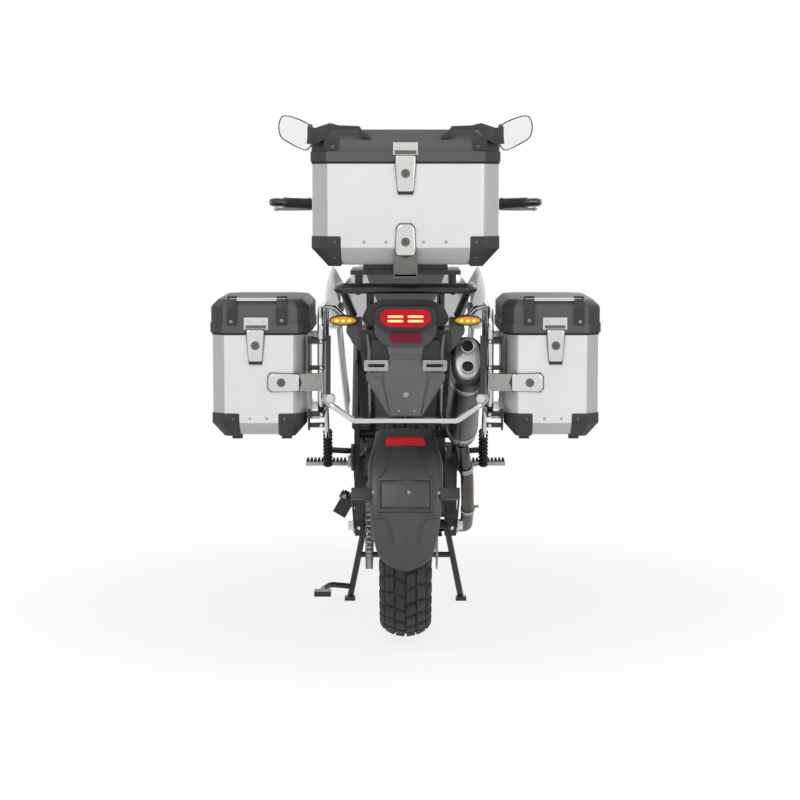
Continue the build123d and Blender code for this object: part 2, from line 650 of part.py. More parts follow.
def handlebar():
    """Bent bar lying on the risers."""
    centre = steer_point(0, BAR_AHEAD, BAR_ALONG)
    half = [(0, centre[1], centre[2]), (92, centre[1], centre[2]), (205, centre[1] - 36, GRIP_Z - 6),
            (446, GRIP_END_Y, GRIP_Z + 2)]
    whole = [(-x, y, z) for x, y, z in reversed(half[1:])] + half[1:]
    return [tube(whole, 11, 45)]


GRIP_Z = 1268.0
GRIP_END_Y = 955.0
GRIP_RADIUS = 16.5


def bar_point(x):
    """Point on the straight outer run of the right-hand bar."""
    centre = steer_point(0, BAR_AHEAD, BAR_ALONG)
    share = (x - 205) / (446 - 205)
    return Vector(x, centre[1] - 36 + (GRIP_END_Y - centre[1] + 36) * share, GRIP_Z - 6 + 8 * share)


def bar_controls():
    """Grips with bar-end weights, switch housings and levers."""
    pieces = []
    bar = handlebar()[0]
    grip = rod(bar_point(318), bar_point(446), GRIP_RADIUS) + rod(bar_point(446), bar_point(461), 14)
    housing = rod(bar_point(262), bar_point(317.7), 19)
    lever = tube([bar_point(280) + Vector(0, 16, 0), bar_point(300) + Vector(0, 58, 0),
                  bar_point(440) + Vector(0, 62, -4)], 6, 20)
    for piece in (grip, housing + lever):
        piece = piece - rod(bar_point(220), bar_point(446), 11.05)
        pieces = pieces + both_sides(piece)
    return pieces


def mirrors():
    """Round-cornered mirrors on stems from the lever clamps."""
    foot = bar_point(288)
    stem = tube([foot, foot + Vector(14, -4, 90), (350, 940, 1440), (362, 936, 1470)], 5, 30)
    stem = stem - rod(bar_point(230), bar_point(330), 19.3)
    shell = Pos(367, 930, 1496) * (Plane.XZ * extrude(RectangleRounded(122, 118, 30), amount=8, both=True))
    return both_sides(stem + shell)


def fork_legs():
    """Sliders and stanchions, with the front axle and the caliper lugs."""
    half = FORK_SPACING / 2
    leg = Pos(half, AXLE_AHEAD, (AXLE_ALONG - 30 + 760) / 2) * Cylinder(SLIDER_RADIUS, 760 - AXLE_ALONG + 30)
    stanchion = Pos(half, AXLE_AHEAD, (750 + 1192) / 2) * Cylinder(STANCHION_RADIUS, 1192 - 750)
    one = steer_piece(leg + stanchion)
    axle = rod((-half - 34, WHEELBASE, FRONT_AXLE_Z), (half + 34, WHEELBASE, FRONT_AXLE_Z), AXLE_RADIUS)
    return [joined(both_sides(one) + [axle])]


def front_mudguard():
    """Arched guard over the front tyre, with its mounts to the sliders."""
    ring = turned([(-62, 345), (62, 345), (62, 350), (-62, 350)], 0, 0)
    far = 700
    front, back = radians(52), radians(176)
    wedge = side_plate([(0, 0), (far * cos(front), far * sin(front)), (0, far * 1.3),
                        (-far, far * 0.6), (far * cos(back), far * sin(back))], -130, 130)
    arch = Pos(0, WHEELBASE, FRONT_AXLE_Z) * (ring & wedge)
    lug_y, lug_z = steer_point(0, AXLE_AHEAD, AXLE_ALONG + 300)[1:]
    ear = side_plate([(lug_y - 30, lug_z - 60), (lug_y + 30, lug_z - 46), (lug_y + 30, lug_z + 20),
                      (lug_y - 30, lug_z + 36)], 58, 74)
    slider = STEER_PLANE * Pos(FORK_SPACING / 2, AXLE_AHEAD, 600) * Cylinder(SLIDER_RADIUS + 0.2, 600)
    ears = [without(piece, tool) for piece, tool in zip(both_sides(ear), both_sides(slider))]
    return [joined([arch] + ears)]


def front_calipers():
    """Calipers over the discs, behind the sliders."""
    centre = (WHEELBASE - 132, FRONT_AXLE_Z + 64)
    x0, x1 = FRONT_HUB_HALF - 16, FRONT_HUB_HALF + 26
    body = Pos((x0 + x1) / 2, *centre) * Rot(-26, 0, 0) * Box(x1 - x0, 62, 112)
    slot = turned([(FRONT_HUB_HALF - 3, 60), (FRONT_HUB_HALF + 8, 60),
                   (FRONT_HUB_HALF + 8, 158), (FRONT_HUB_HALF - 3, 158)], WHEELBASE, FRONT_AXLE_Z)
    arm = block(x1 - 4, FORK_SPACING / 2 + 4, centre[0] + 6, centre[0] + 98, centre[1] - 20, centre[1] + 24)
    slider = STEER_PLANE * Pos(FORK_SPACING / 2, AXLE_AHEAD, 500) * Cylinder(SLIDER_RADIUS + 0.2, 600)
    one = without(joined([without(body, slot), arm]), slider)
    return both_sides(one)


# ---- luggage ----------------------------------------------------------------------------
def side_racks():
    """Bent tube loops beside the tail, their rear cross bar and their fixings."""
    x = SIDE_CASE["inner"] - 40
    y0, y1, z0, z1 = -315.0, 80.0, 690.0, 985.0
    corner = 55
    loop = [
        tube([(x, (y0 + y1) / 2, z0), (x, y0, z0), (x, y0, z1), (x, (y0 + y1) / 2, z1)], RACK_TUBE_RADIUS, corner),
        tube([(x, (y0 + y1) / 2, z1), (x, y1, z1), (x, y1, z0), (x, (y0 + y1) / 2, z0)], RACK_TUBE_RADIUS, corner)]
    pad_gap = SIDE_CASE["inner"] - SEAT_GAP
    pads = [block(x + 4, pad_gap, y - 14, y + 14, z - 11, z + 11)
            for y, z in ((-240, z0), (20, z0), (-240, z1 - 90), (20, z1 - 90))]
    legs = [rod((x, y, z0), (x, y, z1), 7) for y in (-240, 20)]
    upper = tube([(x, -150, z1), (x - 34, -150, z1 - 6), (112, -150, 896)], 8, 18)
    front = tube([(x, 50, z0 + 2), (x + 2, 190, 600), (x + 3, 300, 560)], 8, 60)
    side = joined(loop + legs + pads + [upper, front])
    cowl_side = SEAT_RAIL_X + SUBFRAME_TUBE_RADIUS + SEAT_GAP + 12.3
    cowl = block(-cowl_side, cowl_side, -345, 360, 700, 940) + block(
        PEG_BLOCK[0] - 0.3, PEG_BLOCK[1] + 0.3, 289.7, 331, 460, 600)
    bar = tube([(-x, y0 + 55, z0 + 6), (-x + 16, y0 - 40, z0 + 46), (-x + 92, y0 - 60, z0 - 4),
                (x - 92, y0 - 60, z0 - 4), (x - 16, y0 - 40, z0 + 46), (x, y0 + 55, z0 + 6)], 8, 30)
    return [joined(both_sides(without(side, cowl)) + [bar])]


RACK_LEG_YS = (-290.0, -60.0)


def tail_rack():
    """Plate and grab loop above the tail that carry the top case."""
    plate = block(-150, 150, -330, -30, 1080, 1092)
    plate = plate - block(-90, 90, -290, -200, 1070, 1100) - block(-90, 90, -160, -70, 1070, 1100)
    adapter = block(-115, 115, -320, -60, 1092, TOP_CASE["bottom"])
    adapter = adapter - block(-90, 90, -290, -90, 1080, 1120)
    half_loop = tube([(150, 40, 950), (185, -40, 1040), (185, -338, 1040), (0, -338, 1040)], 11, 40)
    grab = joined(both_sides(half_loop))
    posts = [rod((side * 130, y, 1040), (side * 130, y, 1084), 9) for side in (-1, 1) for y in RACK_LEG_YS]
    arms = [block(-186, 186, y - 10, y + 10, 1034, 1046) for y in RACK_LEG_YS]
    legs = [rod((side * SEAT_RAIL_X, y, rail_height(y) + 1.5), (side * SEAT_RAIL_X, y, 1040), 9)
            for side in (-1, 1) for y in RACK_LEG_YS]
    return [joined([plate, adapter, grab] + posts + arms + legs)]


def cased_outline(x0, x1, y0, y1, cut):
    """Rectangle with cut corners, seen from above."""
    return [(x0 + cut, y0), (x1 - cut, y0), (x1, y0 + cut), (x1, y1 - cut),
            (x1 - cut, y1), (x0 + cut, y1), (x0, y1 - cut), (x0, y0 + cut)]


def cased(x0, x1, y0, y1, z0, z1, cut):
    """Box with its four upright edges chamfered."""
    return flat_plate(cased_outline(x0, x1, y0, y1, cut), z0, z1)


def case_body(x0, x1, y0, y1, bottom, seam, cut):
    outer = cased(x0, x1, y0, y1, bottom, seam, cut)
    inner = cased(x0 + CASE_WALL, x1 - CASE_WALL, y0 + CASE_WALL, y1 - CASE_WALL,
                  bottom + CASE_WALL, seam + 10, cut * 0.9)
    return outer - inner


def dome(x0, x1, y0, y1, z0, z1, cut, bevel):
    """Chamfered box with its top edges bevelled."""
    skirt = cased(x0, x1, y0, y1, z0, z1 - bevel, cut)
    low = cased_outline(x0, x1, y0, y1, cut)
    high = cased_outline(x0 + bevel, x1 - bevel, y0 + bevel, y1 - bevel, cut)
    faces = [Pos(0, 0, z1 - bevel) * Polygon(*low, align=None), Pos(0, 0, z1) * Polygon(*high, align=None)]
    return skirt + loft(faces, ruled=True)


def case_lid(x0, x1, y0, y1, seam, top, cut, bevel):
    """Shallow hollow lid, bevelled round its top."""
    wall = LID_WALL
    outer = dome(x0, x1, y0, y1, seam + SEAM_GAP, top, cut, bevel)
    return outer - dome(x0 + wall, x1 - wall, y0 + wall, y1 - wall, seam - 10, top - wall, cut * 0.95, bevel)


def hinge_axis(front, seam):
    """(y, z) of a lid hinge, just ahead of the lid's front face."""
    return (front + LID_OVERHANG + HINGE_RADIUS + 1.0, seam)


def hinge_knuckles(xs, front, seam):
    """Lid knuckles and case knuckles, with the pin fixed in the case's."""
    y, z = hinge_axis(front, seam)
    lid_parts, body_parts = [], []
    for x in xs:
        knuckle = rod((x - 24, y, z), (x + 24, y, z), HINGE_RADIUS)
        tab = block(x - 24, x + 24, front + LID_OVERHANG - 2, y, z + SEAM_GAP, z + HINGE_RADIUS - 1)
        bore = rod((x - 30, y, z), (x + 30, y, z), HINGE_PIN_RADIUS + RUNNING_FIT)
        lid_parts.append(joined([knuckle, tab]) - bore)
        pin = rod((x - 44, y, z), (x + 44, y, z), HINGE_PIN_RADIUS)
        ends = [rod((x + side * 24.6, y, z), (x + side * 44, y, z), HINGE_RADIUS) for side in (-1, 1)]
        tabs = []
        for side in (-1, 1):
            x_low, x_high = sorted((x + side * 24.6, x + side * 44))
            tabs.append(block(x_low, x_high, front - 1, y, z - HINGE_RADIUS, z - SEAM_GAP))
        body_parts.append(joined([pin] + ends + tabs))
    return lid_parts, body_parts


SIDE_HINGE_X = (SIDE_CASE["inner"] + SIDE_CASE["outer"]) / 2


def side_case_body():
    c = SIDE_CASE
    shell = case_body(c["inner"], c["outer"], c["back"], c["front"], c["bottom"], c["seam"], 34)
    return joined([shell] + hinge_knuckles([SIDE_HINGE_X - 60, SIDE_HINGE_X + 60], c["front"], c["seam"])[1])


def side_case_lid():
    c = SIDE_CASE
    lid = case_lid(c["inner"] - 20, c["outer"] + 6, c["back"] - LID_OVERHANG, c["front"] + LID_OVERHANG,
                   c["seam"], c["top"] - 8, 34, 20)
    return joined([lid] + hinge_knuckles([SIDE_HINGE_X - 60, SIDE_HINGE_X + 60], c["front"], c["seam"])[0])


def top_case_body():
    c = TOP_CASE
    shell = case_body(-c["half"], c["half"], c["back"], c["front"], c["bottom"], c["seam"], 42)
    return joined([shell] + hinge_knuckles([-150, 150], c["front"], c["seam"])[1])


def top_case_lid():
    c = TOP_CASE
    lid = case_lid(-c["half"] - LID_OVERHANG, c["half"] + LID_OVERHANG, c["back"] - LID_OVERHANG,
                   c["front"] + LID_OVERHANG, c["seam"], c["top"], 42, 30)
    return joined([lid] + hinge_knuckles([-150, 150], c["front"], c["seam"])[0])


TOP_HINGE = hinge_axis(TOP_CASE["front"], TOP_CASE["seam"])
SIDE_HINGE = hinge_axis(SIDE_CASE["front"], SIDE_CASE["seam"])


def case_latches():
    """Hasps over the lids, and the locks that hold each case to its rack."""
    t, c = TOP_CASE, SIDE_CASE
    hasp = block(-27, 27, t["back"] - CASE_LATCH_DEPTH, t["back"] - 5, t["seam"] - 84, t["seam"] + 14)
    hasp = hasp + block(-20, 20, t["back"] - 5, t["back"], t["seam"] - 80, t["seam"] - 6)
    lock = block(-28, 28, t["back"] - 12, t["back"], t["bottom"] + 24, t["bottom"] + 108)
    tongue = block(-30, 30, t["back"] - 10, t["back"], t["bottom"] - 30, t["bottom"] + 24)
    foot = block(-30, 30, t["back"] - 10, -331, t["bottom"] - 30, t["bottom"] - 24)
    side_hasp = block(SIDE_HINGE_X - 19, SIDE_HINGE_X + 35, c["back"] - 13, c["back"] - 5, c["seam"] - 78, c["seam"] + 12)
    side_hasp = side_hasp + block(SIDE_HINGE_X - 12, SIDE_HINGE_X + 28, c["back"] - 5, c["back"], c["seam"] - 74, c["seam"] - 6)
    side_lock = block(c["inner"] - 36, c["outer"] - 154, c["back"] - 14, c["back"], 763, 813)
    return [hasp, joined([lock, tongue, foot])] + both_sides(side_hasp) + both_sides(side_lock)


def side_fairings():
    """Shrouds beside the tank that run down past the radiator."""
    upper = side_plate([(1180, 1010), (1200, 960), (1090, 880), (900, 866), (800, 900), (820, 980), (960, 1060)], 204.3, 236)
    lower = side_plate([(1190, 950), (1140, 640), (1090, 560), (1050, 640), (1040, 880)], 188, 206)
    return both_sides(upper + lower)


# ---- stands, pegs -----------------------------------------------------------------------
STAND_FOOT_Y = STAND_Y + STAND_FOOT_AHEAD


def stand_leg(side):
    """Splayed leg with its pivot boss and flat shoe."""
    pivot = (side * STAND_HALF_TOP, STAND_Y, STAND_Z)
    knee = (side * STAND_HALF_TOP, STAND_Y + STAND_FOOT_AHEAD * 0.24, STAND_Z - 62)
    foot = (side * STAND_HALF_FOOT, STAND_FOOT_Y, 7)
    leg = rod(pivot, knee, STAND_TUBE_RADIUS - 1) + rod(knee, foot, STAND_TUBE_RADIUS - 2)
    leg = leg + block(side * STAND_HALF_TOP - 10, side * STAND_HALF_TOP + 9, knee[1] - 16, knee[1] + 16,
                      knee[2] - 12, knee[2] + 12)
    boss = rod((side * (STAND_HALF_TOP - 10), STAND_Y, STAND_Z), (side * (STAND_HALF_TOP + 10), STAND_Y, STAND_Z), 20)
    shoe = block(side * STAND_HALF_FOOT - 17, side * STAND_HALF_FOOT + 17,
                 STAND_FOOT_Y - 24, STAND_FOOT_Y + 16, 0, 12)
    bore = rod((-200, STAND_Y, STAND_Z), (200, STAND_Y, STAND_Z), STAND_PIN_RADIUS + RUNNING_FIT)
    return joined([leg, boss, shoe]) - bore


def centre_stand():
    """Two splayed legs with feet, a cross tube and the rider's foot lever."""
    cross_z, cross_y, cross_end = 150, STAND_Y + STAND_FOOT_AHEAD / 2, 152
    cross = rod((-cross_end, cross_y, cross_z), (cross_end, cross_y, cross_z), 9)
    lever = tube([(-STAND_HALF_FOOT + 4, STAND_FOOT_Y - 6, 44), (-240, STAND_FOOT_Y - 16, 52),
                  (-262, STAND_FOOT_Y - 90, 50), (-258, 446, 56)], 9, 30)
    pad = Pos(-258, 440, 60) * Box(52, 50, 16)
    return [joined([stand_leg(-1), stand_leg(1), cross, lever, pad])]


def side_stand_plane():
    """Plane of the leg's swing: x along the folded leg (backwards), y towards the opened leg."""
    lean = radians(SIDE_STAND_LEAN)
    return Plane(origin=(SIDE_STAND_X, SIDE_STAND_Y, SIDE_STAND_Z), x_dir=(0, -1, 0),
                 z_dir=(cos(lean), 0, -sin(lean)))


def side_stand():
    """Folded leg with its foot, lying back along the left side."""
    plane = side_stand_plane()
    leg = plane * (Pos(SIDE_STAND_LENGTH / 2, 0, 0) * Rot(0, 90, 0) * Cylinder(11, SIDE_STAND_LENGTH))
    eye = plane * Cylinder(18, 20)
    foot = plane * (Pos(SIDE_STAND_LENGTH, 0, 0) * Box(14, 52, 44))
    bore = plane * Cylinder(8 + RUNNING_FIT, 60)
    return [joined([leg, eye, foot]) - bore]


def side_stand_mount():
    """Slanted lug under the engine with the pin that the side stand turns on."""
    plane = side_stand_plane()
    pin = plane * Pos(0, 0, 9) * Cylinder(8, 54)
    head = plane * Pos(0, 0, -14) * Cylinder(14, 6)
    lug = plane * Pos(0, 0, 22) * Box(50, 50, 20)
    arm = block(SIDE_STAND_X + 20, -CRANKCASE_X + 10, SIDE_STAND_Y - 25, SIDE_STAND_Y + 25,
                SIDE_STAND_Z - 34, SIDE_STAND_Z)
    arm = arm - plane * Pos(0, 0, -38) * Box(400, 200, 100)
    return joined([pin, head, lug, arm])


PEG_BLOCK = (222.0, 250.0)     # folded passenger peg, half widths


def footpegs():
    """Rider's pegs on hangers from the pivot plates, and the folded passenger pegs."""
    hanger = side_plate([(548, 430), (600, 440), (600, 500), (548, 512), (512, 500), (505, 452)],
                        PLATE_OUTER, PLATE_OUTER + 10)
    peg = block(PLATE_OUTER + 8, 314, 510, 552, 452, 472)
    arm = tube([(PLATE_OUTER + 4, 540, 494), (PLATE_OUTER + 22, 520, 496), (PEG_BLOCK[0] + 12, 430, 510),
                (PEG_BLOCK[0] + 12, 320, 545)], 9, 20)
    folded = block(PEG_BLOCK[0], PEG_BLOCK[1], 290, 330, 470, 590)
    arm = arm - block(PLATE_INNER - 10, PLATE_OUTER, 400, 700, 400, 600)
    return both_sides(joined([hanger, peg, arm, folded]))


def skid_plate():
    plate = side_plate([(700, 196), (1020, 196), (1086, 262), (1086, 400), (1080, 400), (1080, 266),
                        (1017, 202), (700, 202)], -118, 118)
    posts = [block(side * 90 - 8, side * 90 + 8, y - 10, y + 10, 202, 256) for side in (-1, 1) for y in (872, 952)]
    return [joined([plate] + posts)]


def rear_shock():
    return [rod((0, 540, 470), (0, 560, 640), 26)]


# ---- bodies and writing -----------------------------------------------------------------
def build_parts():
    engine_solid = engine_body() + side_stand_mount()
    case = side_case_body()
    lid = side_case_lid()
    return {
        "main_frame": main_frame(),
        "subframe": subframe(),
        "engine_block": [engine_solid],
        "radiator": radiator(),
        "exhaust_header": exhaust_header(),
        "muffler": muffler(),
        "swing_arm": swing_arm(),
        "rear_shock": rear_shock(),
        "drive_chain": drive_chain(),
        "chain_guard": chain_guard(),
        "hugger": hugger(),
        "fuel_tank": fuel_tank(),
        "side_fairings": side_fairings(),
        "case_latches": case_latches(),
        "front_fairing": front_fairing(),
        "headlamp": headlamp(),
        "windscreen": windscreen(),
        "instrument_panel": instrument_panel(),
        "rider_seat": rider_seat(),
        "pillion_seat": pillion_seat(),
        "tail_cowl": tail_cowl(),
        "tail_lamp": tail_lamp(),
        "plate_holder": plate_holder(),
        "turn_signals": turn_signals(),
        "tail_rack": tail_rack(),
        "side_racks": side_racks(),
        "top_case_body": [top_case_body()],
        "left_case_body": [mirrored(case)],
        "right_case_body": [case],
        "footpegs": footpegs(),
        "skid_plate": skid_plate(),
        "fork_yokes": fork_yokes(),
        "fork_legs": fork_legs(),
        "handlebar": handlebar(),
        "bar_controls": bar_controls(),
        "mirrors": mirrors(),
        "front_mudguard": front_mudguard(),
        "front_calipers": front_calipers(),
        "front_tyre": [tyre(FRONT_TYRE, WHEELBASE, FRONT_AXLE_Z)],
        "front_rim": spoked_rim(FRONT_TYRE, WHEELBASE, FRONT_AXLE_Z, FRONT_HUB_HALF),
        "front_discs": front_discs(),
        "rear_tyre": [tyre(REAR_TYRE, 0, REAR_AXLE_Z)],
        "rear_rim": spoked_rim(REAR_TYRE, 0, REAR_AXLE_Z, REAR_HUB_HALF),
        "rear_disc": rear_disc(),
        "rear_sprocket": rear_sprocket(),
        "centre_stand": centre_stand(),
        "side_stand": side_stand(),
        "top_case_lid": [top_case_lid()],
        "left_case_lid": [mirrored(lid)],
        "right_case_lid": [lid],
    }


def write(parts):
    os.makedirs("parts", exist_ok=True)
    for name, solids in parts.items():
        pieces = []
        for solid in solids:
            pieces = pieces + list((Pos(0, -MIDDLE_Y, 0) * solid).solids())
        shape = pieces[0] if len(pieces) == 1 else Compound(children=pieces)
        export_step(shape, f"parts/{name}.step")


write(build_parts())
print(f"middle y {MIDDLE_Y:.3f}, shaft {SHAFT_Y:.2f} {SHAFT_Z:.2f}")
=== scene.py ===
"""Looks of an adventure motorcycle with three aluminium luggage cases, on its centre stand.

Places are given in millimetres from the rear axle's line and the ground, as the frame is laid
out, and at() turns them into the frame's metres.  +X is the rider's right and +Y is forward.
"""
from math import atan2, cos, pi, radians, sin, sqrt

import bmesh
import bpy
from mathutils import Matrix, Vector


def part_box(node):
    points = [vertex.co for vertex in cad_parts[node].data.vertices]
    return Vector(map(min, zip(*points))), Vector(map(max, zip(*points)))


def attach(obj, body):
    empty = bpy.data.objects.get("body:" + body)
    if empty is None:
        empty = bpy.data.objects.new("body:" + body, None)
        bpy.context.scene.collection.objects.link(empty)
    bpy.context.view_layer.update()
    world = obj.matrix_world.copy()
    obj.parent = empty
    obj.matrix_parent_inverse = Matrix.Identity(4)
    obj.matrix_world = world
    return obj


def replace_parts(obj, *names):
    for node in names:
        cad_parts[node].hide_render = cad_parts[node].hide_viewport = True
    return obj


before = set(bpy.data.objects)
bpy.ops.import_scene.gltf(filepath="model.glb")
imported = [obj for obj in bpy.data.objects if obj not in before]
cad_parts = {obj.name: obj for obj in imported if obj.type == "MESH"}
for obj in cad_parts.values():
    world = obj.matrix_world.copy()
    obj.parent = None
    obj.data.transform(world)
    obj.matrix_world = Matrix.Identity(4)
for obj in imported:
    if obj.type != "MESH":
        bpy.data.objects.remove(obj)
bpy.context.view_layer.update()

# ---- units and places --------------------------------------------------------------------
MM = 0.001
REAR_LOW, REAR_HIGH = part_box("rear_rim")
FRONT_LOW, FRONT_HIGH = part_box("front_rim")
AXLE_Y = (REAR_LOW.y + REAR_HIGH.y) / 2          # rear axle in the frame, metres
REAR_AXLE_Z = (REAR_LOW.z + REAR_HIGH.z) / 2 / MM
FRONT_AXLE_Z = (FRONT_LOW.z + FRONT_HIGH.z) / 2 / MM
WHEELBASE = (FRONT_LOW.y + FRONT_HIGH.y) / 2 / MM - AXLE_Y / MM


def at(x, y, z):
    """Place in the frame, in metres, from millimetres ahead of the rear axle's line and above the ground."""
    return Vector((x * MM, y * MM + AXLE_Y, z * MM))


def limits(node):
    """Corners of a CAD node in millimetres, as (x0, x1, y0, y1, z0, z1)."""
    low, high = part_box(node)
    return (low.x / MM, high.x / MM, (low.y - AXLE_Y) / MM, (high.y - AXLE_Y) / MM, low.z / MM, high.z / MM)


# ---- materials ---------------------------------------------------------------------------
def shade(value):
    """Linear value of an sRGB level from 0 to 255."""
    level = value / 255
    return level / 12.92 if level <= 0.04045 else ((level + 0.055) / 1.055) ** 2.4


def tint(red, green, blue):
    return (shade(red), shade(green), shade(blue), 1)


def add_node(tree, kind, fed=None, **values):
    """New shader node: values by input name, with _ for a space, and fed links inputs to outputs."""
    made = tree.nodes.new("ShaderNode" + kind)
    for name, value in values.items():
        made.inputs[name.replace("_", " ")].default_value = value
    for name, output in (fed or {}).items():
        tree.links.new(output, made.inputs[name])
    return made


def combined(tree, operation, first, second):
    """Output of a math node over two outputs."""
    made = add_node(tree, "Math", {0: first, 1: second})
    made.operation = operation
    return made.outputs[0]


BUMP_DEPTH = 0.0004                    # metres from the bottom to the top of the fine relief
DUST_SCALE, DUST_SHARE = 34, 0.5       # size of the dust's patches, and how much of it lies in the thickest


def finish(name, colour, metallic, roughness, mottle, grain, bump, mottle_scale=9, stretch=(1, 1, 1),
           rough_spread=0.12, coat=0.0, dust=None):
    """Material whose colour, roughness and surface come from noise in the object's own space."""
    made = bpy.data.materials.new(name)
    made.use_nodes = True
    tree = made.node_tree
    shader = tree.nodes["Principled BSDF"]
    place = add_node(tree, "TexCoord").outputs["Object"]

    broad = add_node(tree, "TexNoise", {"Vector": place}, Scale=mottle_scale, Detail=4)
    tones = add_node(tree, "ValToRGB", {"Fac": broad.outputs["Fac"]})
    for tone, position, share in zip(tones.color_ramp.elements, (0.3, 0.7), (1 - mottle, 1 + mottle)):
        tone.position = position
        tone.color = [min(1, channel * share) for channel in colour[:3]] + [1]
    colour_out = tones.outputs["Color"]
    if dust is not None:
        settled = add_node(tree, "TexNoise", {"Vector": place}, Scale=DUST_SCALE, Detail=6)
        amount = add_node(tree, "MapRange", {"Value": settled.outputs["Fac"]}, From_Min=0.52, From_Max=0.8,
                          To_Max=DUST_SHARE)
        mixed = add_node(tree, "Mix")
        mixed.data_type = "RGBA"
        tree.links.new(amount.outputs["Result"], mixed.inputs["Factor"])
        tree.links.new(colour_out, mixed.inputs["A"])
        mixed.inputs["B"].default_value = dust
        colour_out = mixed.outputs["Result"]

    scaled = add_node(tree, "Mapping", {"Vector": place}, Scale=stretch)
    fine = add_node(tree, "TexNoise", {"Vector": scaled.outputs["Vector"]}, Scale=grain, Detail=3)
    rough = add_node(tree, "MapRange", {"Value": fine.outputs["Fac"]}, To_Min=max(0.03, roughness - rough_spread),
                     To_Max=min(1, roughness + rough_spread))
    relief = add_node(tree, "Bump", {"Height": fine.outputs["Fac"]}, Strength=bump, Distance=BUMP_DEPTH)
    for socket, output in (("Base Color", colour_out), ("Roughness", rough.outputs["Result"]),
                           ("Normal", relief.outputs["Normal"])):
        tree.links.new(output, shader.inputs[socket])
    for socket, value in (("Metallic", metallic), ("Coat Weight", coat), ("Coat Roughness", 0.1)):
        shader.inputs[socket].default_value = value
    return made


def lens(name, colour, glow=0.0, roughness=0.12):
    """Coloured clear plastic over a reflector, glowing where glow is above 0: a lamp lit from inside, and on the red
    reflector a painted glow.
    """
    made = finish(name, colour, 0, roughness, mottle=0.05, grain=300, bump=0.02, rough_spread=0.03, coat=0.1)
    shader = made.node_tree.nodes["Principled BSDF"]
    shader.inputs["Specular IOR Level"].default_value = 0.2
    shader.inputs["Emission Color"].default_value = colour
    shader.inputs["Emission Strength"].default_value = glow
    return made


def clear_plastic(name, colour, clearness):
    made = finish(name, colour, 0, 0.08, mottle=0.04, grain=200, bump=0.01, rough_spread=0.03)
    shader = made.node_tree.nodes["Principled BSDF"]
    shader.inputs["Transmission Weight"].default_value = clearness
    shader.inputs["IOR"].default_value = 1.2
    return made


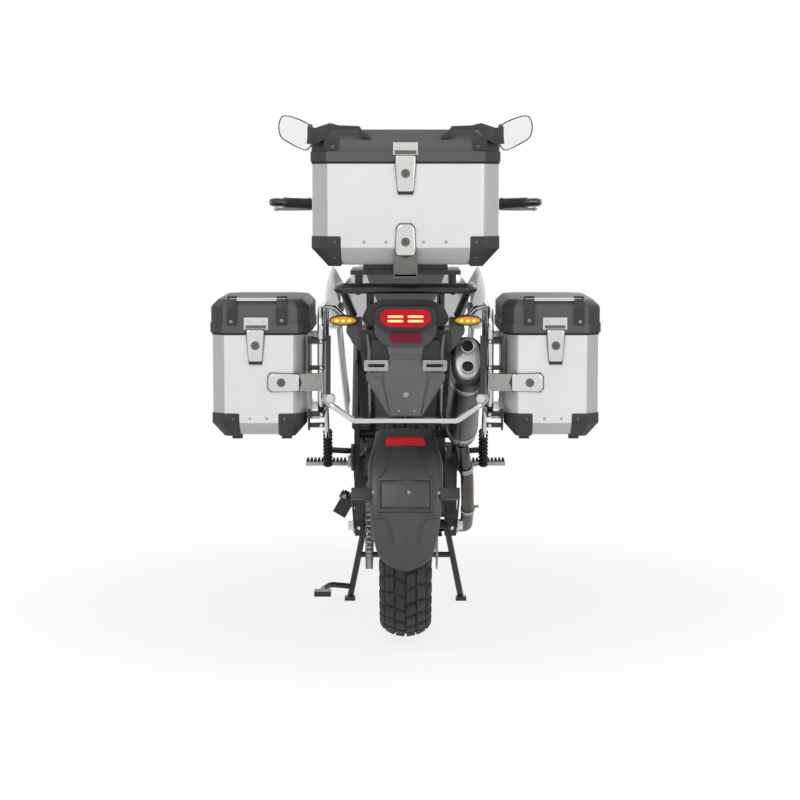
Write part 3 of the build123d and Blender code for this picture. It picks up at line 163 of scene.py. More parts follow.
FINISHES = {
    "case_metal": ((232, 233, 234), 0.55, 0.42, 0.03, 260, 0.06, {"stretch": (1, 1, 14), "rough_spread": 0.08}),
    # painted shade: a darker copy of the case metal for the cut corners and the base slope, standing for the dark
    # surroundings they reflect
    "case_painted_shade": ((186, 186, 185), 0.6, 0.42, 0.04, 260, 0.06, {"stretch": (1, 1, 14)}),
    "lid_plastic": ((88, 89, 91), 0, 0.55, 0.06, 1400, 0.35, {}),
    "cap_plastic": ((46, 46, 47), 0, 0.5, 0.08, 1300, 0.3, {}),
    "seal_rubber": ((22, 22, 23), 0, 0.75, 0.1, 800, 0.2, {}),
    "bright_steel": ((214, 214, 212), 1, 0.2, 0.04, 380, 0.05, {"stretch": (1, 1, 6), "rough_spread": 0.08}),
    "chrome": ((206, 207, 210), 1, 0.12, 0.03, 200, 0.02, {"rough_spread": 0.05}),
    "zinc": ((168, 168, 166), 0.9, 0.35, 0.1, 500, 0.12, {}),
    "barrel_steel": ((112, 110, 105), 0.9, 0.35, 0.1, 500, 0.12, {}),
    "satin_steel": ((190, 188, 184), 0.8, 0.42, 0.08, 420, 0.08, {}),
    "bracket_steel": ((160, 158, 154), 0.7, 0.4, 0.06, 300, 0.08, {"stretch": (1, 1, 8)}),
    "tongue_steel": ((116, 114, 110), 0.7, 0.42, 0.06, 300, 0.08, {"stretch": (6, 1, 1)}),
    "key_slot": ((70, 66, 60), 0.8, 0.4, 0.1, 700, 0.1, {}),
    "frame_paint": ((30, 30, 31), 0, 0.4, 0.08, 600, 0.1, {"coat": 0.25, "dust": tint(58, 57, 55)}),
    "black_plastic": ((40, 40, 41), 0, 0.5, 0.08, 1300, 0.3, {}),
    "grey_plastic": ((70, 71, 73), 0, 0.4, 0.06, 1300, 0.25, {}),
    "holder_plastic": ((98, 99, 101), 0, 0.5, 0.06, 1300, 0.25, {}),
    "silver_paint": ((192, 193, 195), 0.35, 0.32, 0.03, 2200, 0.04, {"coat": 0.6}),
    "dark_paint": ((44, 46, 50), 0.3, 0.3, 0.05, 2000, 0.04, {"coat": 0.7}),
    "cast_alloy": ((92, 92, 92), 0.7, 0.5, 0.12, 420, 0.35, {"dust": tint(70, 68, 64)}),
    "cover_alloy": ((64, 64, 66), 0.6, 0.42, 0.1, 420, 0.25, {}),
    "arm_alloy": ((58, 58, 60), 0.6, 0.4, 0.08, 500, 0.2, {}),
    "heat_steel": ((84, 78, 73), 1, 0.32, 0.22, 260, 0.08, {"mottle_scale": 14}),
    "muffler_shell": ((66, 64, 63), 0.85, 0.38, 0.12, 340, 0.08, {"stretch": (1, 8, 1)}),
    "tyre_rubber": ((54, 54, 55), 0, 0.78, 0.12, 900, 0.35, {"dust": tint(92, 90, 86)}),
    "grip_rubber": ((34, 34, 35), 0, 0.7, 0.1, 1100, 0.3, {}),
    "chain_steel": ((126, 122, 114), 0.9, 0.36, 0.2, 500, 0.15, {"dust": tint(56, 50, 42)}),
    "rim_alloy": ((160, 161, 163), 0.85, 0.34, 0.06, 500, 0.08, {"stretch": (6, 1, 1)}),
    "disc_steel": ((150, 150, 152), 1, 0.3, 0.08, 500, 0.08, {}),
    "seat_vinyl": ((38, 38, 39), 0, 0.58, 0.08, 620, 0.5, {}),
    "seat_side_vinyl": ((60, 60, 62), 0, 0.55, 0.08, 620, 0.5, {}),
    "mirror_glass": ((238, 240, 242), 1, 0.04, 0.01, 60, 0.0, {"rough_spread": 0.01}),
    "dial_glass": ((20, 22, 26), 0, 0.1, 0.04, 100, 0.0, {"coat": 0.8}),
    "radiator_fins": ((66, 66, 66), 0.6, 0.5, 0.1, 300, 0.5, {"stretch": (1, 1, 12)}),
    "spring_paint": ((190, 190, 188), 0.3, 0.4, 0.05, 500, 0.05, {"coat": 0.3}),
}
LOOKS = {name: finish(name, tint(*colour), *surface, **more)
         for name, (colour, *surface, more) in FINISHES.items()}
LOOKS["red_lens"] = lens("red_lens", (0.5, 0.0, 0.012, 1), glow=0.22)
LOOKS["red_bar"] = lens("red_bar", (1.0, 0.5, 0.2, 1), glow=1.1)
# painted glow: the rear reflector is no lamp, and its small glow stands for the light it sends back
LOOKS["red_reflector_painted_glow"] = lens("red_reflector_painted_glow", (0.62, 0.0, 0.01, 1), glow=0.05, roughness=0.2)
LOOKS["dark_reflector"] = lens("dark_reflector", (0.2, 0.004, 0.025, 1), roughness=0.2)
LOOKS["amber_lens"] = lens("amber_lens", (0.8, 0.4, 0.03, 1), glow=0.12, roughness=0.2)
LOOKS["amber_glow"] = lens("amber_glow", (1.0, 0.72, 0.2, 1), glow=0.8)
LOOKS["screen_plastic"] = clear_plastic("screen_plastic", (0.78, 0.8, 0.82, 1), 0.85)

# the looks that belong to each slot
SLOT_LOOKS = {
    "case_alloy": ("case_metal",), "lid_dark": ("lid_plastic",), "steel_bright": (
        "barrel_steel", "bracket_steel", "bright_steel", "chrome", "disc_steel", "key_slot", "mirror_glass",
        "satin_steel", "tongue_steel", "zinc"),
    "black_plastic": ("black_plastic", "cap_plastic", "grey_plastic", "holder_plastic", "seal_rubber"),
    "grip_rubber": ("grip_rubber",), "silver_paint": ("silver_paint",),
    "black_metal": ("dark_paint", "radiator_fins"), "frame_paint": ("frame_paint",),
    "cast_alloy": ("cast_alloy",), "engine_alloy": ("cover_alloy",),
    "muffler_shell": ("muffler_shell",), "chain_steel": ("chain_steel",), "spring_steel": ("spring_paint",),
    "lamp_red": ("red_lens", "red_bar", "red_reflector_painted_glow", "dark_reflector"),
    "lamp_amber": ("amber_lens", "amber_glow"), "lamp_lens": ("dial_glass",), "screen_clear": ("screen_plastic",),
    "seat_cover": ("seat_vinyl",),
}
SLOTS = {look: slot for slot, looks in SLOT_LOOKS.items() for look in looks}

# the CAD nodes that show as they are, and the material each look gives them
DRESSED = {
    "frame_paint": ("main_frame", "subframe", "centre_stand", "side_stand", "tail_rack", "handlebar"),
    "cast_alloy": ("engine_block",), "radiator_fins": ("radiator",), "heat_steel": ("exhaust_header",),
    "arm_alloy": ("swing_arm", "fork_yokes"), "black_plastic": ("chain_guard", "tail_cowl", "skid_plate"),
    "chrome": ("side_racks",), "zinc": ("fork_legs", "front_calipers"), "rim_alloy": ("front_rim", "rear_rim"),
    "disc_steel": ("front_discs", "rear_disc"),
}
for look, nodes in DRESSED.items():
    for node in nodes:
        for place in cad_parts[node].material_slots:
            place.material = LOOKS[look]


# ---- shapes: each is (corners in millimetres, faces) -------------------------------------
def prism(outline, axis, low, high):
    """Outline carried along an axis: points are (y, z) for x, (x, z) for y and (x, y) for z."""
    def corner(point, along):
        first, second = point
        return {"x": (along, first, second), "y": (first, along, second), "z": (first, second, along)}[axis]
    count = len(outline)
    corners = [corner(point, low) for point in outline] + [corner(point, high) for point in outline]
    faces = [tuple(range(count)), tuple(range(2 * count - 1, count - 1, -1))]
    faces += [(i, (i + 1) % count, (i + 1) % count + count, i + count) for i in range(count)]
    return corners, faces


def rect(x0, x1, z0, z1):
    return [(x0, z0), (x1, z0), (x1, z1), (x0, z1)]


def box(x0, x1, y0, y1, z0, z1):
    return prism(rect(x0, x1, y0, y1), "z", z0, z1)


def corner_curve(before, here, after, radius, share, parts):
    """Small curve in place of the corner at here; it takes up no more than a share of either side."""
    back, ahead = before - here, after - here
    reach = min(radius, back.length * share, ahead.length * share)
    start, end = here + back.normalized() * reach, here + ahead.normalized() * reach
    return [start * (1 - t) ** 2 + here * 2 * t * (1 - t) + end * t ** 2
            for t in (step / parts for step in range(parts + 1))]


def rounded(outline, radius, steps=4):
    """Closed outline with its corners turned into small curves."""
    points, made = [Vector(point) for point in outline], []
    for i, here in enumerate(points):
        made += corner_curve(points[i - 1], here, points[(i + 1) % len(points)], radius, 0.48, steps)
    return [tuple(point) for point in made]


def plate(outline, radius, axis, low, high, steps=4):
    """Rounded outline carried along an axis."""
    return prism(rounded(outline, radius, steps), axis, low, high)


def facing(outline, radius, y_back, y_front, steps=4):
    """Rounded outline carried along the machine, from its rear face forwards."""
    return plate(outline, radius, "y", y_back, y_front, steps)


def mirrored_outline(half):
    return list(half) + [(-x, other) for x, other in reversed(half) if x > 0]


def holed(outer, inner, axis, low, high):
    """Plate with an opening: outer and inner outlines have as many points."""
    count = len(outer)
    corners = []
    for outline, along in ((outer, low), (inner, low), (outer, high), (inner, high)):
        corners += prism(outline, axis, along, along)[0][:count]
    faces = []
    for i in range(count):
        j = (i + 1) % count
        a, b, c, d = i, i + count, i + 2 * count, i + 3 * count
        e, f, g, h = j, j + count, j + 2 * count, j + 3 * count
        faces += [(a, e, f, b), (c, d, h, g), (a, c, g, e), (b, f, h, d)]
    return corners, faces


def lofted(rings):
    """Skin through closed rings of as many corners, with both ends filled."""
    count = len(rings[0])
    corners = [corner for ring in rings for corner in ring]
    faces = []
    for start in range(0, len(corners) - count, count):
        for i in range(count):
            j = (i + 1) % count
            faces.append((start + i, start + j, start + count + j, start + count + i))
    faces.append(tuple(reversed(range(count))))
    faces.append(tuple(range(len(corners) - count, len(corners))))
    return corners, faces


def axis_frame(direction):
    """Two unit vectors square to a direction."""
    direction = Vector(direction).normalized()
    helper = Vector((0, 0, 1)) if abs(direction.z) < 0.9 else Vector((1, 0, 0))
    side = direction.cross(helper).normalized()
    return side, direction.cross(side).normalized()


def turned(profile, centre, axis=(1, 0, 0), steps=32, closed=False):
    """Shape turned about an axis through centre, from (along, radius) points."""
    centre, axis = Vector(centre), Vector(axis).normalized()
    side, up = axis_frame(axis)
    corners, faces = [], []
    for step in range(steps):
        angle = 2 * pi * step / steps
        out = side * cos(angle) + up * sin(angle)
        corners += [tuple(centre + axis * along + out * radius) for along, radius in profile]
    count = len(profile)
    spans = count if closed else count - 1
    for step in range(steps):
        here, there = step * count, (step + 1) % steps * count
        for i in range(spans):
            j = (i + 1) % count
            faces.append((here + i, here + j, there + j, there + i))
    if not closed:
        faces.append(tuple(step * count for step in range(steps)))
        faces.append(tuple(step * count + count - 1 for step in reversed(range(steps))))
    return corners, faces


def rod(start, end, radius, sides=18):
    start, end = Vector(start), Vector(end)
    return turned([(0, radius), ((end - start).length, radius)], start, end - start, sides)


BACKWARDS = (0, -1, 0)


def screw(place, axis=BACKWARDS, radius=4.5, height=3.0):
    """Domed head with a hexagon socket."""
    return [turned([(-0.5, radius), (height * 0.55, radius), (height, radius * 0.72), (height, radius * 0.42),
                    (height * 0.35, radius * 0.4)], place, axis, 12)]


def screws(places, *options, **named):
    return [head for place in places for head in screw(place, *options, **named)]


def round_ring(radius, sides):
    return [(radius * cos(2 * pi * i / sides), radius * sin(2 * pi * i / sides)) for i in range(sides)]


def swept(path, ring):
    """Skin through copies of a ring of (side, up) offsets, square to a path."""
    side = axis_frame(path[1] - path[0])[0]
    rings = []
    for before, here, after in zip(path[:1] + path, path, path[1:] + path[-1:]):
        ahead = (after - before).normalized()
        side = (side - ahead * side.dot(ahead)).normalized()
        up = ahead.cross(side).normalized()
        rings.append([tuple(here + side * a + up * b) for a, b in ring])
    return lofted(rings)


def pipe(points, radius, bend=20, sides=14):
    """Round pipe along straight runs joined by curves of about the bend radius."""
    points = [Vector(point) for point in points]
    path = [points[0]]
    for before, here, after in zip(points, points[1:], points[2:]):
        path += corner_curve(before, here, after, bend, 0.45, 6)
    return swept(path + [points[-1]], round_ring(radius, sides))


def curve(points, parts):
    """Smooth line through points, parts steps to a span."""
    points = [Vector(point) for point in points]
    points = [points[0] * 2 - points[1]] + points + [points[-1] * 2 - points[-2]]
    made = []
    for a, b, c, d in zip(points, points[1:], points[2:], points[3:]):
        for t in (step / parts for step in range(parts)):
            made.append(0.5 * (2 * b + (c - a) * t + (2 * a - 5 * b + 4 * c - d) * t * t
                               + (3 * b - a - 3 * c + d) * t ** 3))
    return made + [points[-2]]


def smooth_skin(sections, along=4, around=3):
    """Skin through half sections (y, [(x, z) from the bottom to the top]), mirrored and smoothed."""
    rows = [curve([(x, y, z) for x, z in half], around) for y, half in sections]
    columns = [curve(column, along) for column in zip(*rows)]
    rings = []
    for right in zip(*columns):
        left = [(-x, y, z) for x, y, z in reversed(right) if x > 0.01]
        rings.append([tuple(point) for point in right] + left)
    return lofted(rings)


def flipped(shape):
    """The same shape on the other side of the machine."""
    corners, faces = shape
    return [(-x, y, z) for x, y, z in corners], faces


def both_sides(shapes):
    return shapes + [flipped(shape) for shape in shapes]


def moved(shape, matrix):
    corners, faces = shape
    return [tuple(matrix @ Vector(corner)) for corner in corners], faces


def piece(name, shapes, look, body="root", bevel=0.0, crease=32, segments=2, slot=None):
    """Makes one mesh from shapes, rounds its edges and hangs it on a body of the frame."""
    mesh = bpy.data.meshes.new(name)
    work = bmesh.new()
    for corners, faces in shapes:
        made = [work.verts.new(at(*corner)) for corner in corners]
        for face in faces:
            if len(set(face)) > 2:
                work.faces.new([made[i] for i in dict.fromkeys(face)])
    bmesh.ops.remove_doubles(work, verts=work.verts, dist=0.00001)
    bmesh.ops.recalc_face_normals(work, faces=work.faces)
    if bevel:
        edges = [edge for edge in work.edges
                 if len(edge.link_faces) == 2 and edge.calc_face_angle(0) > radians(28)]
        bmesh.ops.bevel(work, geom=edges, offset=bevel * MM, segments=segments, profile=0.6, affect="EDGES",
                        clamp_overlap=True)
    work.to_mesh(mesh)
    work.free()
    mesh.shade_smooth()
    mesh.set_sharp_from_angle(angle=radians(crease))
    made = bpy.data.objects.new(name, mesh)
    bpy.context.scene.collection.objects.link(made)
    mesh.materials.append(LOOKS[look])
    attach(made, body)
    slot = slot or SLOTS.get(look)
    return made


def second_look(made, look, chosen):
    """Gives the faces that chosen(normal, centre) picks another material."""
    made.data.materials.append(LOOKS[look])
    for face in made.data.polygons:
        if chosen(face.normal, face.center):
            face.material_index = 1


# ---- stage, light and camera -------------------------------------------------------------
EYE_HEIGHT = 1306.8
EYE_BEHIND = 6233.1
TILT_DOWN = 5.504
LENS_MM, SENSOR_MM = 97.6, 36.0
CENTRE_SHIFT = -0.0069
WORLD_LIGHT = 0.55
FLOOR_HALF = 30.0
FLOOR_GREY = 0.9
SHADOW_REACH = 0.5, 1.7
SHADOW_SHARE = 0.2


def seen_directly(tree):
    """1 for camera, glossy and transmission rays and 0 for the light that falls on things."""
    rays = add_node(tree, "LightPath").outputs
    shown = combined(tree, "MAXIMUM", rays["Is Camera Ray"], rays["Is Glossy Ray"])
    return combined(tree, "MAXIMUM", shown, rays["Is Transmission Ray"])


def make_world():
    world = bpy.data.worlds.new("studio")
    bpy.context.scene.world = world
    world.use_nodes = True
    tree = world.node_tree
    strength = add_node(tree, "MapRange", {"Value": seen_directly(tree)}, To_Min=WORLD_LIGHT, To_Max=1.0)
    background = tree.nodes["Background"]
    background.inputs["Color"].default_value = (1, 1, 1, 1)
    tree.links.new(strength.outputs["Result"], background.inputs["Strength"])


def make_floor():
    """White floor that keeps the machine's shadow near its feet and fades to the background."""
    mesh = bpy.data.meshes.new("floor")
    corners = [(x * FLOOR_HALF, y * FLOOR_HALF, 0) for x, y in ((-1, -1), (1, -1), (1, 1), (-1, 1))]
    mesh.from_pydata(corners, [], [(0, 1, 2, 3)])
    floor = bpy.data.objects.new("floor", mesh)
    bpy.context.scene.collection.objects.link(floor)
    made = bpy.data.materials.new("floor_white")
    made.use_nodes = True
    mesh.materials.append(made)
    tree = made.node_tree
    shader, output = tree.nodes["Principled BSDF"], tree.nodes["Material Output"]
    shader.inputs["Base Color"].default_value = (FLOOR_GREY, FLOOR_GREY, FLOOR_GREY, 1)
    shader.inputs["Roughness"].default_value = 0.9
    reach = add_node(tree, "VectorMath", {0: add_node(tree, "TexCoord").outputs["Object"]})
    reach.operation = "LENGTH"
    near, far = SHADOW_REACH
    fade = add_node(tree, "MapRange", {"Value": reach.outputs["Value"]}, From_Min=near, From_Max=far,
                    To_Min=1 - SHADOW_SHARE, To_Max=1.0)
    fade.interpolation_type = "SMOOTHSTEP"
    seen = combined(tree, "MULTIPLY", seen_directly(tree), fade.outputs["Result"])
    white = add_node(tree, "Emission")
    mixed = add_node(tree, "MixShader", {"Fac": seen, 1: shader.outputs["BSDF"], 2: white.outputs["Emission"]})
    tree.links.new(mixed.outputs["Shader"], output.inputs["Surface"])


def area_light(name, place, target, size, power):
    lamp = bpy.data.lights.new(name, "AREA")
    lamp.shape, lamp.size, lamp.energy = "SQUARE", size, power
    made = bpy.data.objects.new(name, lamp)
    made.location = place
    made.rotation_euler = (Vector(target) - Vector(place)).to_track_quat("-Z", "Y").to_euler()
    bpy.context.scene.collection.objects.link(made)


def make_camera():
    lens_data = bpy.data.cameras.new("camera")
    lens_data.lens, lens_data.sensor_width, lens_data.shift_x = LENS_MM, SENSOR_MM, CENTRE_SHIFT
    camera = bpy.data.objects.new("camera", lens_data)
    camera.location = at(0, -EYE_BEHIND, EYE_HEIGHT)
    camera.rotation_euler = (radians(90 - TILT_DOWN), 0, 0)
    bpy.context.scene.collection.objects.link(camera)
    bpy.context.scene.camera = camera


make_world()
make_floor()
make_camera()
for lamp_name, lamp_place, lamp_target, lamp_size, lamp_power in (
        ("key", (-2.6, -5.2, 4.6), (0, -0.6, 0.8), 2.4, 92),
        ("fill", (3.6, -3.8, 2.2), (0, -0.6, 0.8), 2.4, 30),
        ("front_fill", (2.5, 5.0, 4.0), (0, 0.4, 0.8), 3.0, 80)):
    area_light(lamp_name, lamp_place, lamp_target, lamp_size, lamp_power)
bpy.context.scene.view_settings.view_transform = "Standard"


# ---- tyres -------------------------------------------------------------------------------
TREAD_DEPTH = 8.5
TREAD_ROWS = 36
FLANGE_HEIGHT = 13.7                   # from the rim's bead seat up to its edge
BEAD_CLEARANCE = 0.3
# each block of a row's right half: from and to across the crown (degrees from the middle),
# from and to along the row (shares of its pitch), and how far its outer end is swept back
TREAD_BLOCKS = (
    (2.5, 22.0, -0.40, 0.30, 0.16),
    (26.0, 50.0, -0.16, 0.62, -0.14),
    (54.0, 82.0, -0.42, 0.24, 0.10),
)


def crown(half, top, shoulder, angle, depth):
    """(across, radius) on the tyre's crown, angle from its middle, depth below the tread."""
    return ((half - depth) * sin(angle), shoulder + (top - shoulder - depth) * cos(angle))


def tread_block(size, block, row, mirror_side):
    half, top, shoulder = size["half"], size["top"], size["shoulder"]
    low, high, back, front, sweep = block
    pitch = 2 * pi / TREAD_ROWS
    stagger = 0.5 if mirror_side < 0 else 0.0
    across_steps, along_steps = 4, 2
    corners, faces = [], []
    for depth, grow in ((TREAD_DEPTH, 0.05), (0.0, 0.0)):
        for i in range(across_steps + 1):
            share = i / across_steps
            angle = radians(low - grow * 14 + (high - low + grow * 28) * share)
            across, radius = crown(half, top, shoulder, angle, depth)
            for j in range(along_steps + 1):
                part = j / along_steps
                turn = (row + stagger + (back - grow) + (front - back + 2 * grow) * part + sweep * share) * pitch
                y, z = size["y"] - radius * sin(turn), size["z"] - radius * cos(turn)
                corners.append((mirror_side * across, y, z))
    count = (across_steps + 1) * (along_steps + 1)
    wide = along_steps + 1


    def index(layer, i, j):
        return layer * count + i * wide + j

    for i in range(across_steps):
        for j in range(along_steps):
            faces.append((index(1, i, j), index(1, i + 1, j), index(1, i + 1, j + 1), index(1, i, j + 1)))
    for i in range(across_steps):
        for j in (0, along_steps):
            faces.append((index(0, i, j), index(0, i + 1, j), index(1, i + 1, j), index(1, i, j)))
    for j in range(along_steps):
        for i in (0, across_steps):
            faces.append((index(0, i, j), index(0, i, j + 1), index(1, i, j + 1), index(1, i, j)))
    return corners, faces


def make_tyre(node, body, rim_node, bead_inset):
    x0, x1, y0, y1, z0, z1 = limits(node)
    rim_top = (limits(rim_node)[5] - limits(rim_node)[4]) / 2
    half, top = (x1 - x0) / 2, (z1 - z0) / 2
    seat = rim_top - FLANGE_HEIGHT + BEAD_CLEARANCE
    size = dict(half=half, top=top, shoulder=seat + (top - seat) * 0.52, y=(y0 + y1) / 2, z=(z0 + z1) / 2)
    bead = half - bead_inset
    side = [(bead, seat), (bead + 1, seat + 12), (half - 7, seat + 22), (half - 2.5, seat + 36)]
    carcass = [crown(half, top, size["shoulder"], radians(angle), TREAD_DEPTH - 0.6 if angle < 80 else 2.0)
               for angle in (84, 72, 60, 48, 36, 24, 12, 0)]
    right = side + carcass
    profile = right + [(-x, r) for x, r in reversed(right[:-1])]
    profile = [(bead - 3, seat)] + profile + [(3 - bead, seat)]
    shapes = [turned(profile, (0, size["y"], size["z"]), steps=120, closed=True)]
    made = piece(node + "_casing", shapes, "tyre_rubber", body, crease=40)
    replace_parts(made, node)
    blocks = [tread_block(size, block, row, side) for row in range(TREAD_ROWS) for side in (-1, 1)
              for block in TREAD_BLOCKS]
    piece(node + "_tread", blocks, "tyre_rubber", body, bevel=1.0, crease=40, segments=1)


make_tyre("rear_tyre", "rear_wheel", "rear_rim", 21)
make_tyre("front_tyre", "front_wheel", "front_rim", 19)


# ---- cases -------------------------------------------------------------------------------
TOP = dict(x0=-250, x1=250, y0=-450, y1=-40, bottom=1110, seam=1384, top=1470, cut=42, base=45, bevel=30)
SIDE = dict(x0=272, x1=528, y0=-350, y1=100, bottom=642, seam=922, top=1014, cut=34, base=33, bevel=20)
WALL = 3.0
LID_WALL = 4.0
SEAM_GAP = 0.4
RIDGE = 28.0                           # height of the band round the lid's lower edge
TOP_BACK, SIDE_BACK = TOP["y0"], SIDE["y0"]


def painted_shade_slants(normal, _centre):
    """The case's cut corners and the slope round its base, which take the darker painted shade."""
    return (abs(normal.x) > 0.3 and abs(normal.y) > 0.3) or -0.96 < normal.z < -0.3


def cornered(normal, _centre):
    return abs(normal.x) > 0.3 and abs(normal.y) > 0.3


def case_ring(case, inset, z):
    """A case's outline with its cut corners, inset all round, at a height."""
    cut = case["cut"]
    x0, x1, y0, y1 = case["x0"] + inset, case["x1"] - inset, case["y0"] + inset, case["y1"] - inset
    outline = [(x0 + cut, y0), (x1 - cut, y0), (x1, y0 + cut), (x1, y1 - cut), (x1 - cut, y1), (x0 + cut, y1),
               (x0, y1 - cut), (x0, y0 + cut)]
    return [(x, y, z) for x, y in rounded(outline, 9, 4)]


def case_skin(case, profile):
    """Closed skin that follows a case's outline, inset and raised along a profile."""
    return lofted([case_ring(case, inset, z) for inset, z in profile])


def body_shapes(case):
    low, base, seam = case["bottom"], case["base"], case["seam"]
    return [case_skin(case, [
        (base + WALL + 2, low + WALL), (base + WALL - 2,
                                        low + WALL + 1), (WALL, low + base + 2), (WALL, seam - 0.8),
        (WALL - 0.8, seam), (0.8, seam), (0, seam - 0.8), (0, low + base + 5), (0.7, low + base + 1.6),
        (3.4, low + base - 3.4), (base - 4, low + 4), (base - 1, low + 1.2), (base + 3, low)])]


def lid_case(case, side):
    """The lid's outline: past the case by 4 mm, and 14 and 6 mm past a side case across the machine."""
    grown = dict(case)
    grown["x0"], grown["x1"] = (case["x0"] - 14, case["x1"] + 6) if side else (case["x0"] - 4, case["x1"] + 4)
    grown["y0"], grown["y1"] = case["y0"] - 4, case["y1"] + 4
    return grown


def lid_shapes(case, side):
    lid = lid_case(case, side)
    seam, top, bevel = case["seam"] + SEAM_GAP, case["top"], case["bevel"]
    inner = LID_WALL + 2.5
    return [case_skin(lid, [
        (inner + bevel, top - LID_WALL), (inner, top - LID_WALL - bevel), (inner, seam + 1), (inner - 1, seam),
        (1.2, seam), (0, seam + 1.2), (0, seam + RIDGE - 1.6), (0.8, seam + RIDGE - 0.4), (2.5, seam + RIDGE),
        (2.5, top - bevel - 5), (3.4, top - bevel - 0.8), (6.4, top - bevel + 4), (bevel - 2, top - 4.6),
        (bevel + 1.8, top - 1.2), (bevel + 7, top)])]


def hinge_shapes(case, xs):
    """(case parts, lid parts) of the hinges on a case's front edge."""
    y, z = case["y1"] + 11, case["seam"]
    fixed, turning = [], []
    for x in xs:
        turning.append(rod((x - 24, y, z), (x + 24, y, z), 6))
        turning.append(box(x - 24, x + 24, case["y1"] + 2.5, y, z + 0.6, z + 5))
        for side in (-1, 1):
            low, high = sorted((x + side * 24.6, x + side * 44))
            fixed += [rod((low, y, z), (high, y, z), 6), box(low, high, case["y1"] - 0.5, y, z - 6, z - 0.6)]
    return fixed, turning


def seal_shapes(case):
    outer = [corner[:2] for corner in case_ring(case, -1.6, 0)]
    inner = [corner[:2] for corner in case_ring(case, 1.0, 0)]
    return [holed(outer, inner, "z", case["seam"] - 5, case["seam"] - 0.2)]


def side_named(name, side, shapes, look, body="root", **options):
    """Makes a side case's piece for the right-hand case, or flips it for the left-hand one."""
    shapes = shapes if side == "right" else [flipped(shape) for shape in shapes]
    return piece(side + "_" + name, shapes, look, body, **options)


fixed, turning = hinge_shapes(TOP, (-150, 150))
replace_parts(piece("top_case_shell", body_shapes(TOP) + fixed, "case_metal"), "top_case_body")
top_lid_shell = piece("top_case_lid_shell", lid_shapes(TOP, False) + turning, "lid_plastic", "top_lid")
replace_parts(top_lid_shell, "top_case_lid")
second_look(top_lid_shell, "cap_plastic", cornered)
piece("top_case_seal", seal_shapes(TOP), "seal_rubber")
for side in ("left", "right"):
    fixed, turning = hinge_shapes(SIDE, (340, 460))
    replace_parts(side_named("case_shell", side, body_shapes(SIDE) + fixed, "case_metal"), side + "_case_body")
    lid_shell = side_named("case_lid_shell", side, lid_shapes(SIDE, True) + turning, "lid_plastic", side + "_lid")
    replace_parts(lid_shell, side + "_case_lid")
    second_look(lid_shell, "cap_plastic", cornered)
    side_named("case_seal", side, seal_shapes(SIDE), "seal_rubber")

# rivets and screws on the backs of the cases
rivets = [turned([(0, 4.6), (0.8, 4.4), (1.9, 2.6), (2.2, 0.6)], (x, TOP_BACK - 0.2, 1172), BACKWARDS, 14)
          for x in (-111, -52, 48, 108)]
for x in (379, 425):
    rivets += both_sides([turned([(0, 4.2), (0.8, 4.0), (1.8, 2.4), (2.1, 0.6)], (x, SIDE_BACK - 0.2, 689),
                                 BACKWARDS, 14)])
piece("case_rivets", rivets, "zinc", slot="case_alloy")
cap_screws = both_sides(screw((189, TOP_BACK - 2.6, 1171)) + screw((189, TOP_BACK + 21, 1130), (0, -0.7, -0.7)))
cap_screws += both_sides(screws([(x, SIDE_BACK - 2.6, 688) for x in (330, 470)]))
piece("cap_screws", cap_screws, "barrel_steel")


# ---- latches and locks -------------------------------------------------------------------
def key_boss(x, y, z):
    """Lock barrel with its chamfered ring."""
    return [turned([(0, 12), (2.1, 12), (3, 11), (3, 7.6), (1.8, 7.2), (1.8, 0.4)], (x, y, z), BACKWARDS, 28)]


def catch_shapes(x, back, seam):
    """Plate on the lid that the hasp hooks over."""
    outline = rounded(rect(x - 33, x + 33, seam + 18, seam + 51), 1.5, 2)
    heads = screws([(x + side * 19, back - 3, seam + 41) for side in (-1, 1)], radius=4)
    return [prism(outline, "y", back - 3, back + 3)] + heads


def grown(outline, by):
    """Convex outline moved outwards from its middle by about by millimetres."""
    middle_x = sum(x for x, _ in outline) / len(outline)
    middle_z = sum(z for _, z in outline) / len(outline)
    made = []
    for x, z in outline:
        share = by / max(1.0, sqrt((x - middle_x) ** 2 + (z - middle_z) ** 2))
        made.append((x + (x - middle_x) * share, z + (z - middle_z) * share))
    return made


def domed(outline, y_back, y_face):
    """Pressed cover: straight rim, then a soft shoulder up to a flat middle; y_face is the rear."""
    outline = rounded(outline, 6)
    rows = ((y_back, 0), (y_face + 3, 0), (y_face + 0.9, 2), (y_face, 5))
    return lofted([[(x, y, z) for x, z in grown(outline, -inset)] for y, inset in rows])


HASP = [(-27, 1401), (27, 1401), (27, 1378), (21, 1305), (-21, 1305), (-27, 1378)]
LOWER_LOCK = [(-24, 1208), (-15, 1219), (15, 1219), (24, 1208), (27, 1150), (24, 1136), (-24, 1136), (-27, 1150)]
SIDE_HASP = [(384, 932), (432, 932), (431, 908), (426, 845), (390, 845), (385, 908)]
SIDE_LOCK = [(289, 765), (289, 811), (366, 813), (374, 803), (374, 773), (366, 763)]
# painted shadow: dark plates a little larger than the latch covers sit behind them as dark rims, and dark strips lie
# under the hasps
edges = [prism(grown(cover, 2.4), "y", TOP_BACK - 5, TOP_BACK + 0.2) for cover in (HASP, LOWER_LOCK)]
side_latch_painted_shadows = [prism(grown(cover, 2.4), "y", SIDE_BACK - 5, SIDE_BACK + 0.2) for cover in (SIDE_HASP, SIDE_LOCK)]
latches = [domed(HASP, TOP_BACK, TOP_BACK - 12), domed(LOWER_LOCK, TOP_BACK, TOP_BACK - 11.5)]
side_latch = [domed(SIDE_HASP, SIDE_BACK, SIDE_BACK - 11.5), domed(SIDE_LOCK, SIDE_BACK, SIDE_BACK - 11)]
latch_set = piece("latch_plates", latches + both_sides(side_latch), "bright_steel", crease=50)
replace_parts(latch_set, "case_latches")
